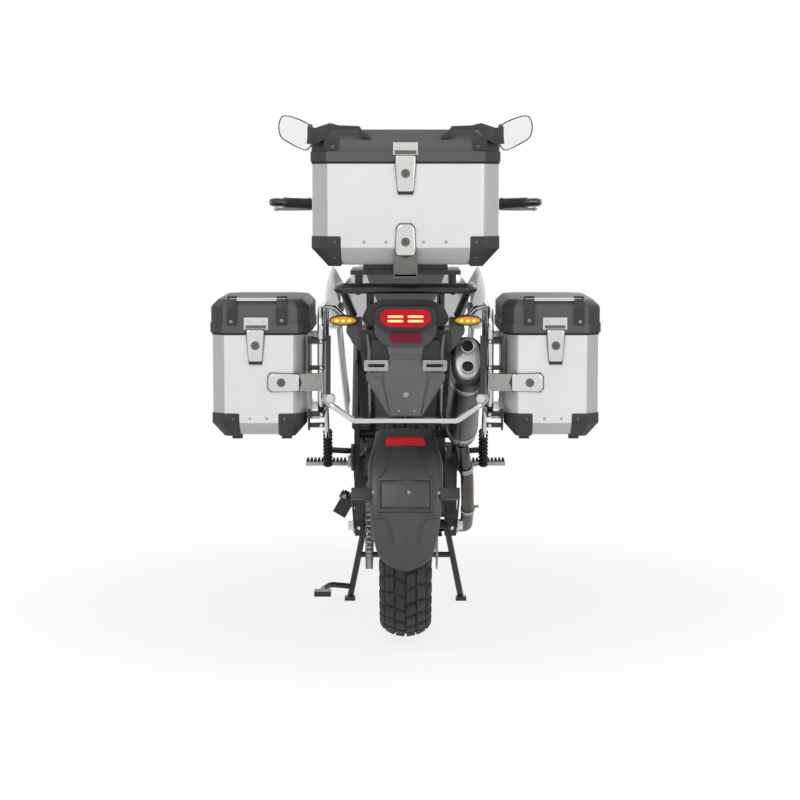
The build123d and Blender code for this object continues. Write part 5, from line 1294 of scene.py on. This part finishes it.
def toothed(teeth, pitch_radius, y, z, x0, x1, bore, phase=0.0):
    """Sprocket ring: a rounded valley for each roller and a pointed tooth between two."""
    outer, inner = [], []
    for tooth in range(teeth):
        for share, radius in ((-0.5, pitch_radius + 5.2), (-0.36, pitch_radius + 2.4), (-0.2, pitch_radius - 4.2),
                              (0.0, pitch_radius - 5.6), (0.2, pitch_radius - 4.2), (0.36, pitch_radius + 2.4)):
            angle = 2 * pi * (tooth + share) / teeth + phase
            outer.append((y + radius * cos(angle), z + radius * sin(angle)))
            inner.append((y + bore * cos(angle), z + bore * sin(angle)))
    return holed(outer, inner, "x", x0, x1)


rear_phase = atan2(PINS[20].y - REAR_AXLE_Z, PINS[20].x)
cog = [toothed(REAR_TEETH, REAR_PITCH, 0, REAR_AXLE_Z, CHAIN_X - 3.5, CHAIN_X + 3.5, 98, rear_phase),
       turned([(-3.4, 40), (-3.4, 58), (3.4, 58), (3.4, 40)], (CHAIN_X, 0, REAR_AXLE_Z), (1, 0, 0), 48, True),
       turned([(-4, 16), (-4, 44), (17, 44), (17, 16)], (CHAIN_X, 0, REAR_AXLE_Z), (1, 0, 0), 40, True)]
bolts = []
for arm_index in range(5):
    angle = 2 * pi * arm_index / 5 + 0.3
    y, z = cos(angle), sin(angle)
    cog.append(prism([(52 * y - 13 * z, REAR_AXLE_Z + 52 * z + 13 * y),
                      (104 * y - 17 * z, REAR_AXLE_Z + 104 * z + 17 * y),
                      (104 * y + 17 * z, REAR_AXLE_Z + 104 * z - 17 * y),
                      (52 * y + 13 * z, REAR_AXLE_Z + 52 * z - 13 * y)], "x", CHAIN_X - 3.2, CHAIN_X + 3.2))
    bolts += screw((CHAIN_X - 3.5, 50 * y, REAR_AXLE_Z + 50 * z), (-1, 0, 0), 7, 6)
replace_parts(piece("rear_cog", cog, "disc_steel", "rear_wheel"), "rear_sprocket")
piece("cog_bolts", bolts, "zinc", "rear_wheel")
front_phase = atan2(PINS[80].y - SHAFT.y, PINS[80].x - SHAFT.x) if (PINS[80] - SHAFT).length < 60 else 0.0
piece("front_cog", [toothed(FRONT_TEETH, FRONT_PITCH, SHAFT.x, SHAFT.y, CHAIN_X - 3.4, CHAIN_X + 3.4, 12,
                            front_phase),
                    turned([(0, 18), (14, 18), (16, 15)], (CHAIN_X - 3, SHAFT.x, SHAFT.y), (-1, 0, 0), 6)],
      "disc_steel")
cover = [turned([(0, 58), (10, 58), (17, 50), (19, 30), (19, 4)], (-128, SHAFT.x + 8, SHAFT.y), (-1, 0, 0), 40)]
piece("cog_cover", cover, "black_plastic")
adjusters, axle_nuts = [], []
for side in (-1, 1):
    x = side * 146
    adjusters.append(prism(rounded(rect(-36, 22, 322, 360), 6, 3), "x", *sorted((x, x + side * 5))))
    axle_nuts.append(turned([(0, 17), (3, 17), (3, 14), (14, 14), (15, 12)], (side * 151, 0, REAR_AXLE_Z),
                            (side, 0, 0), 6))
    axle_nuts.append(turned([(0, 6), (8, 6), (9, 4)], (side * 133, -45, REAR_AXLE_Z), (0, -1, 0), 6))
piece("chain_adjusters", adjusters, "zinc", bevel=0.8)
piece("axle_nuts", axle_nuts, "bright_steel")


# ---- smooth bodywork ---------------------------------------------------------------------
STEER_LEAN = radians(27)               # the steering axis's lean from upright
STEER_FOOT_Y = 1635                    # where the steering axis meets the ground


def clear_of_steering(shape, radius, ahead_side):
    """Moves corners out of the round space in which the fork and yokes turn."""
    corners, faces = shape
    made = []
    for x, y, z in corners:
        ahead = (y - STEER_FOOT_Y) * cos(STEER_LEAN) + z * sin(STEER_LEAN)
        if x * x + ahead * ahead < radius * radius:
            ahead = ahead_side * sqrt(radius * radius - x * x)
            y = STEER_FOOT_Y + (ahead - z * sin(STEER_LEAN)) / cos(STEER_LEAN)
        made.append((x, y, z))
    return made, faces


tank = smooth_skin([
    (1050, [(70, 968), (118, 970), (150, 990), (150, 1024), (104, 1056), (40, 1066), (0, 1067)]),
    (1000, [(100, 925), (150, 930), (186, 962), (184, 1010), (122, 1068), (50, 1083), (0, 1085)]),
    (940, [(112, 904), (168, 910), (203, 950), (200, 1004), (134, 1078), (56, 1096), (0, 1098)]),
    (870, [(112, 886), (174, 892), (203, 934), (198, 988), (134, 1066), (56, 1088), (0, 1090)]),
    (800, [(108, 866), (164, 872), (186, 908), (178, 956), (124, 1030), (50, 1052), (0, 1055)]),
    (745, [(94, 850), (134, 854), (150, 882), (144, 920), (104, 980), (44, 1000), (0, 1002)]),
    (704, [(84, 842), (108, 846), (120, 868), (116, 898), (84, 944), (38, 956), (0, 958)])])
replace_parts(piece("tank_shell", [clear_of_steering(tank, 151, -1)], "silver_paint", crease=40), "fuel_tank")
TANK_SHOULDER = ((704, 84, 944), (745, 104, 980), (800, 124, 1030), (870, 134, 1066), (940, 134, 1078),
                 (1000, 122, 1068), (1050, 104, 1056))


def above_shoulder(_normal, centre):
    """Top of the tank, between its shoulder lines."""
    x, y, z = abs(centre.x) / MM, (centre.y - AXLE_Y) / MM, centre.z / MM
    low, high = TANK_SHOULDER[0], TANK_SHOULDER[-1]
    for a, b in zip(TANK_SHOULDER, TANK_SHOULDER[1:]):
        if a[0] <= y <= b[0]:
            low, high = a, b
    share = min(1, max(0, (y - low[0]) / (high[0] - low[0])))
    return x < low[1] + (high[1] - low[1]) * share and z > low[2] + (high[2] - low[2]) * share - 26


second_look(bpy.data.objects["tank_shell"], "dark_paint", above_shoulder)
CAP_Y = 890
cap = [turned([(0, 44), (4, 44), (6, 41), (6, 33), (9, 31), (10, 26)], (0, CAP_Y, 1090), (0, -0.06, 1), 40)]
cap += [turned([(0, 3), (2, 3)], (34 * cos(angle), CAP_Y + 34 * sin(angle), 1095), (0, 0, 1), 8)
        for angle in (0.4, 1.4, 2.5, 3.5, 4.6, 5.7)]
piece("fuel_cap", cap, "bright_steel")


# ---- seats: crowned pads, subdivided -----------------------------------------------------
RAIL_Y, RAIL_Z, RAIL_RISE = 380, 818, 0.12794   # a place on the seat rail's middle, and its rise to the rear
RAIL_HALF = 12 * 1.02
PAD_GAP = 0.8


def pad_base(y):
    """Height of a pad's underside over the seat rails."""
    return RAIL_Z + RAIL_RISE * (RAIL_Y - y) + RAIL_HALF + PAD_GAP


def padded_skin(name, sections, node):
    """Seat pad: a skin subdivided once more, with its sides in the lighter vinyl."""
    made = piece(name, [smooth_skin(sections, 5, 4)], "seat_vinyl", crease=60)
    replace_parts(made, node)
    smoother = made.modifiers.new("round", "SUBSURF")
    smoother.levels = smoother.render_levels = 1
    with bpy.context.temp_override(object=made, active_object=made, selected_objects=[made]):
        bpy.ops.object.modifier_apply(modifier="round")
    made.data.shade_smooth()
    second_look(made, "seat_side_vinyl", lambda normal, centre: abs(normal.x) > 0.72 and abs(normal.z) < 0.6)
    return made


base = pad_base(RAIL_Y)
rider = [(696, [(0, base + 14), (58, base + 14), (78, base + 22), (84, base + 38), (76, base + 62), (50, base + 72),
                (0, base + 70)]), (660, [(0, base + 6), (84, base + 6), (106, base + 12), (112, base + 30),
                                         (98, base + 54), (60, base + 60), (0, base + 57)]),
         (590, [(0, base + 1), (108, base + 1), (136, base + 6), (142, base + 20), (124, base + 42),
                (70, base + 47), (0, base + 42)]),
         (500, [(0, base + 1), (124, base + 1), (158, base + 6), (164, base + 20), (144, base + 42),
                (80, base + 45), (0, base + 38)]),
         (420, [(0, base + 1), (126, base + 1), (160, base + 7), (166, base + 24), (146, base + 50),
                (84, base + 54), (0, base + 46)]),
         (374, [(0, base + 2), (122, base + 2), (152, base + 9), (157, base + 26), (140, base + 60),
                (84, base + 68), (0, base + 66)])]
padded_skin("rider_pad", rider, "rider_seat")
rear_sections = []
for y, rise, wide in ((368, 70, 132), (340, 78, 138), (280, 76, 138), (200, 66, 136), (120, 62, 132), (60, 58, 122),
                      (26, 48, 108)):
    low = pad_base(y)
    rear_sections.append((y, [(0, low), (wide - 34, low), (wide - 6, low + 5), (wide, low + 18),
                              (wide - 10, low + rise - 16), (wide - 46, low + rise), (0, low + rise - 1)]))
padded_skin("pillion_pad", rear_sections, "pillion_seat")


def seam_line(sections):
    """Piped seam along both sides of a seat, just outside the fifth point of each section."""
    points = [(half[4][0] + 0.6, y, half[4][1] + 0.3) for y, half in sections]
    return both_sides([swept(curve(points, 5), round_ring(2.4, 8))])


piece("seat_piping", seam_line(rider) + seam_line(rear_sections), "grip_rubber", slot="seat_cover")


# ---- fairing, screen, lamp and side panels -----------------------------------------------
nacelle = smooth_skin([
    (1286, [(0, 934), (60, 934), (122, 952), (146, 1020), (128, 1080), (84, 1104), (0, 1108)]),
    (1340, [(0, 924), (60, 922), (134, 942), (152, 1030), (132, 1096), (88, 1116), (0, 1120)]),
    (1391, [(0, 914), (60, 914), (136, 934), (142, 1034), (126, 1100), (88, 1119), (0, 1122)])], 4, 4)
beak = smooth_skin([
    (1388, [(0, 914), (60, 914), (128, 930), (132, 956), (112, 978), (60, 986), (0, 987)]),
    (1450, [(0, 914), (50, 914), (104, 926), (108, 950), (90, 972), (46, 982), (0, 984)]),
    (1520, [(0, 912), (38, 912), (74, 922), (78, 938), (64, 954), (32, 964), (0, 966)]),
    (1590, [(0, 911), (24, 911), (44, 918), (46, 926), (38, 938), (18, 946), (0, 948)]),
    (1640, [(0, 912), (10, 912), (24, 916), (26, 921), (20, 928), (10, 932), (0, 933)])], 5, 4)
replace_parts(piece("lamp_nacelle", [clear_of_steering(nacelle, 171, 1)], "silver_paint", crease=44), "front_fairing")
piece("beak", [beak], "silver_paint", crease=44)
piece("fairing_stay", [rod((0, 1178, 982), (0, 1330, 1020), 12)], "frame_paint")
lamp_face = mirrored_outline([(62, 988), (84, 1000), (96, 1040), (92, 1076), (70, 1086)])
LAMP_Z = 1037


def lamp_outline_at(across, up):
    """The lamp's outline, scaled about its middle."""
    return [(x * across, LAMP_Z + (z - LAMP_Z) * up) for x, z in rounded(lamp_face, 10)]


bezel = holed(lamp_outline_at(1, 1), lamp_outline_at(0.9, 0.86), "y", 1389, 1436)
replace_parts(piece("lamp_bezel", [bezel], "black_plastic", bevel=1.5), "headlamp")
glass_rows = [[(x, y, z) for x, z in lamp_outline_at(share, share)] for y, share in (
    (1408, 0.88), (1424, 0.88), (1431, 0.8), (1435, 0.6), (1437, 0.3), (1437.6, 0.05))]
piece("lamp_lens", [lofted(glass_rows)], "screen_plastic", slot="lamp_lens")
reflectors = []
for x in (-40, 40):
    reflectors.append(turned([(0, 6), (2, 8), (14, 24), (26, 33), (27, 34.5), (25, 34.5), (12, 25.5), (0, 9.5)],
                             (x, 1394, 1036), (0, 1, 0), 32, True))
    reflectors.append(turned([(0, 5), (12, 6), (15, 4)], (x, 1395, 1036), (0, 1, 0), 16))
piece("lamp_reflectors", reflectors, "chrome", slot="lamp_lens")


def screen_row(z, nose, edge, half, back):
    """Level line across the screen, from its nose in the middle to its two edges."""
    return [(half * t, nose - (nose - edge) * abs(t) ** 2.2 - back, z) for t in (-1 + i / 8 for i in range(17))]


SCREEN_ROWS = 9
rows = []
for i in range(SCREEN_ROWS):
    t = i / (SCREEN_ROWS - 1)
    z = 1098 + 376 * t
    nose, edge = 1352 - 160 * t - 14 * sin(pi * t), 1310 - 144 * t - 10 * sin(pi * t)
    half = (150 - 32 * t) * (1 - 0.22 * max(0, t - 0.75) / 0.25 * t)
    rows.append(screen_row(z, nose, edge, half, 0) + list(reversed(screen_row(z, nose, edge, half, 3.6))))
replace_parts(piece("screen_shield", [lofted(rows)], "screen_plastic", crease=50), "windscreen")
piece("screen_screws", both_sides(screws([(96, 1332, 1122), (96, 1314, 1160)], (0.3, 1, 0.3), 6, 4)), "zinc")
dash_place = Matrix.Translation((0, 1222, 1192)) @ Matrix.Rotation(radians(55), 4, "X")
dash = [moved(box(-82, 82, -45, 45, -13, 6), dash_place)]
dash_face = [moved(box(-72, 72, -36, 36, 5, 8), dash_place)]
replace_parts(piece("dash_housing", dash + [rod((0, 1228, 1176), (0, 1316, 1092), 9)], "black_plastic", bevel=6,
                  segments=4), "instrument_panel")
piece("dash_face", dash_face, "dial_glass", bevel=1.5)


def panel_skin(rows, x_at, thick):
    """Curved side panel from rows of (y, z), bowed outwards by x_at(row share, column share)."""
    outer, inner = [], []
    for i, row in enumerate(rows):
        for j, (y, z) in enumerate(row):
            x = x_at(i / (len(rows) - 1), j / (len(row) - 1))
            outer.append((x, y, z))
            inner.append((x - thick, y, z))
    wide, tall = len(rows[0]), len(rows)
    corners, total = outer + inner, len(outer)
    faces = []
    for i in range(tall - 1):
        for j in range(wide - 1):
            a, b, c, d = i * wide + j, i * wide + j + 1, (i + 1) * wide + j + 1, (i + 1) * wide + j
            faces += [(a, b, c, d), (a + total, d + total, c + total, b + total)]
    border = list(range(wide)) + [i * wide + wide - 1 for i in range(1, tall)]
    border += [(tall - 1) * wide + j for j in range(wide - 2, -1, -1)] + [i * wide for i in range(tall - 2, 0, -1)]
    for k, a in enumerate(border):
        b = border[(k + 1) % len(border)]
        faces.append((a, a + total, b + total, b))
    return corners, faces


def between(top, bottom, steps):
    """Rows of points between two smooth lines."""
    upper, lower = curve(top, 4), curve(bottom, 4)
    return [[tuple(upper[j] * (1 - i / steps) + lower[j] * (i / steps)) for j in range(len(upper))]
            for i in range(steps + 1)]


shroud = between([(800, 945), (850, 1012), (960, 1056), (1080, 1040), (1190, 1000)],
                 [(806, 898), (860, 872), (960, 872), (1080, 884), (1196, 962)], 8)
strake = between([(800, 900), (900, 872), (1000, 870), (1090, 884), (1150, 930)],
                 [(820, 884), (905, 856), (1000, 852), (1098, 862), (1176, 926)], 3)
wing = between([(1040, 884), (1090, 892), (1150, 924), (1188, 952)],
               [(1050, 560), (1064, 556), (1092, 566), (1120, 600)], 12)
silver = [panel_skin(shroud, lambda i,
                     j: 212 + 54 * sin(pi * (0.2 + 0.55 * i)) * sin(pi * (0.06 + 0.88 * j)) ** 0.8, 5)]
dark = [panel_skin(strake, lambda i, j: 262 - 60 * abs(j - 0.55) ** 1.5 - 8 * i, 30)]
grey = [panel_skin(wing, lambda i, j: 232 - 34 * i ** 1.3 + 6 * sin(pi * j), 10)]
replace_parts(piece("side_shrouds", both_sides(silver), "silver_paint", crease=40), "side_fairings")
piece("shroud_edges", both_sides(dark), "dark_paint", crease=40, slot="black_plastic")
piece("radiator_wings", both_sides(grey), "silver_paint", crease=40, slot="black_plastic")


# ---- front mudguard ----------------------------------------------------------------------
guard_rings = [guard_ring(e, half, 345, 4.6, lip, (WHEELBASE, FRONT_AXLE_Z))
               for e, half, lip in ((5, 46, 8), (9, 54, 12), (22, 60, 16), (40, 61, 16), (60, 61, 15), (80, 60, 14),
                                    (100, 58, 12), (115, 52, 9), (124, 42, 6), (128, 32, 4))]
ears = [plate([(1377, 582), (1428, 576), (1436, 640), (1432, 668), (1388, 676), (1374, 640)], 8, "x", 60, 73, 3)]
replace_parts(piece("mudguard_shell", [lofted(guard_rings)] + both_sides(ears), "grey_plastic", "steering",
                  crease=50), "front_mudguard")
piece("mudguard_bolts", both_sides(screws([(73, 1392, 652), (73, 1414, 602)], (1, 0, 0), 6, 4)), "zinc", "steering")


# ---- engine, radiator, shock -------------------------------------------------------------
CLUTCH_Y, GENERATOR_Y, CRANK_Z = 880, 900, 390
covers = [turned([(0, 90), (3, 92), (8, 92), (12, 84), (16, 80), (17, 52), (20, 48), (20, 6)],
                 (149, CLUTCH_Y, CRANK_Z), (1, 0, 0), 56),
          turned([(0, 84), (3, 86), (8, 86), (12, 78), (15, 74), (16, 40), (22, 34), (22, 5)],
                 (-149, GENERATOR_Y, CRANK_Z), (-1, 0, 0), 56)]
piece("side_covers", covers, "cover_alloy", crease=24)
cover_bolts = []
for step in range(8):
    angle = 2 * pi * step / 8 + 0.2
    y, z = cos(angle), sin(angle)
    cover_bolts += screw((155, CLUTCH_Y + 86 * y, CRANK_Z + 86 * z), (1, 0, 0), 5, 4)
    cover_bolts += screw((-155, GENERATOR_Y + 80 * y, CRANK_Z + 80 * z), (-1, 0, 0), 5, 4)
for y, z in ((778, 300), (778, 470), (990, 300), (990, 430), (940, 488)):
    cover_bolts += both_sides(screw((128, y, z), (1, 0, 0), 6, 4))
piece("cover_bolts", cover_bolts, "zinc")
fins = []
for index in range(6):
    low_y, high_y, z = 806 + index * 8, 972 + index * 6.4, 522 + index * 21
    fins.append(box(-122, 122, low_y - 3, high_y + 4, z, z + 5))
head_cover = smooth_skin([
    (868, [(0, 700), (96, 702), (116, 712), (112, 738), (84, 750), (0, 752)]),
    (930, [(0, 700), (98, 700), (118, 712), (114, 744), (86, 758), (0, 760)]),
    (1002, [(0, 690), (96, 690), (114, 700), (110, 730), (84, 742), (0, 744)])], 4, 3)
piece("cylinder_ribs", fins, "cast_alloy", bevel=1.5, slot="engine_alloy")
piece("head_cover", [head_cover], "cover_alloy", crease=40)
ribs = [box(-146, 146, 1070.6, 1072.4, z, z + 2.4) for z in range(510, 692, 9)]
tank_ends = both_sides([plate(rect(1068, 1110, 500, 700), 8, "x", 146, 166, 3)])
piece("radiator_ribs", ribs + [box(-146, 146, 1105.6, 1107.4, z, z + 2.4) for z in range(510, 692, 9)],
      "radiator_fins")
piece("radiator_tanks", tank_ends, "black_plastic", bevel=2)
piece("coolant_hoses", [pipe([(156, 1084, 688), (150, 1040, 716), (110, 1020, 706), (90, 990, 700)], 14, 26, 14),
                        pipe([(-156, 1084, 512), (-150, 1048, 480), (-134, 1000, 440), (-122, 985, 420)], 14, 26,
                             14)], "grip_rubber")
shock_way = Vector((0, 20, 170)).normalized()
shock_side, shock_up = axis_frame(shock_way)
SHOCK_FOOT = Vector((0, 540, 470))
COILS, COIL_STEPS = 8, 20
coil_path = []
for t in (step / (COILS * COIL_STEPS) for step in range(COILS * COIL_STEPS + 1)):
    angle = 2 * pi * COILS * t
    coil_path.append(SHOCK_FOOT + shock_way * (22 + 124 * t)
                     + (shock_side * cos(angle) + shock_up * sin(angle)) * 24)
spring = swept(coil_path, round_ring(5, 8))
body = [turned([(0, 16), (8, 18), (8, 30), (16, 30), (16, 15), (100, 15), (100, 11), (148, 11), (148, 30),
                (156, 30), (156, 18), (171, 16)], SHOCK_FOOT, shock_way, 28)]
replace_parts(piece("shock_body", body, "zinc", slot="spring_steel"), "rear_shock")
piece("shock_spring", [spring], "spring_paint", crease=60)
piece("skid_ribs", [box(x - 4, x + 4, 720, 1000, 187.4, 191) for x in (-96, -48, 0, 48, 96)], "zinc", bevel=1,
      slot="black_metal")

# callipers and fork details
calliper_bits = []
for z in (-26, 26):
    calliper_bits.append(turned([(0, 19), (3, 19), (4, 16), (5, 15)],
                                (88, WHEELBASE - 132 - z * 0.44, FRONT_AXLE_Z + 64 + z * 0.9), (1, 0, 0), 24))
calliper_bits += screw((88, WHEELBASE - 150, FRONT_AXLE_Z + 116), (1, 0, 0), 6, 5)
piece("calliper_pistons", both_sides(calliper_bits), "bright_steel", "steering")


def steer_point(x, ahead, along):
    """Place given along the steering axis from the ground, and ahead of it."""
    return Vector((x, STEER_FOOT_Y - along * sin(STEER_LEAN) + ahead * cos(STEER_LEAN),
                   along * cos(STEER_LEAN) + ahead * sin(STEER_LEAN)))


fork_bits = []
way = steer_point(0, 0, 1) - steer_point(0, 0, 0)
for side in (-1, 1):
    fork_bits.append(turned([(0, 30), (4, 32), (16, 32), (20, 28), (24, 23)], steer_point(side * 103, 51.35, 744),
                            way, 32))
    fork_bits.append(turned([(0, 24), (3, 24), (12, 22), (14, 12)], steer_point(side * 103, 51.35, 1190), way, 6))
piece("fork_seals", fork_bits, "cap_plastic", "steering", crease=30, slot="fork_metal")
piece("front_axle_nuts",
      both_sides([turned([(0, 15), (6, 15), (7, 12)], (137, WHEELBASE, FRONT_AXLE_Z), (1, 0, 0), 6)]),
      "bright_steel", "steering")
piece("steering_nut", [turned([(0, 26), (4, 26), (4, 20), (16, 20), (18, 16)], steer_point(0, 0, 1184), way, 6)],
      "bright_steel", "steering")
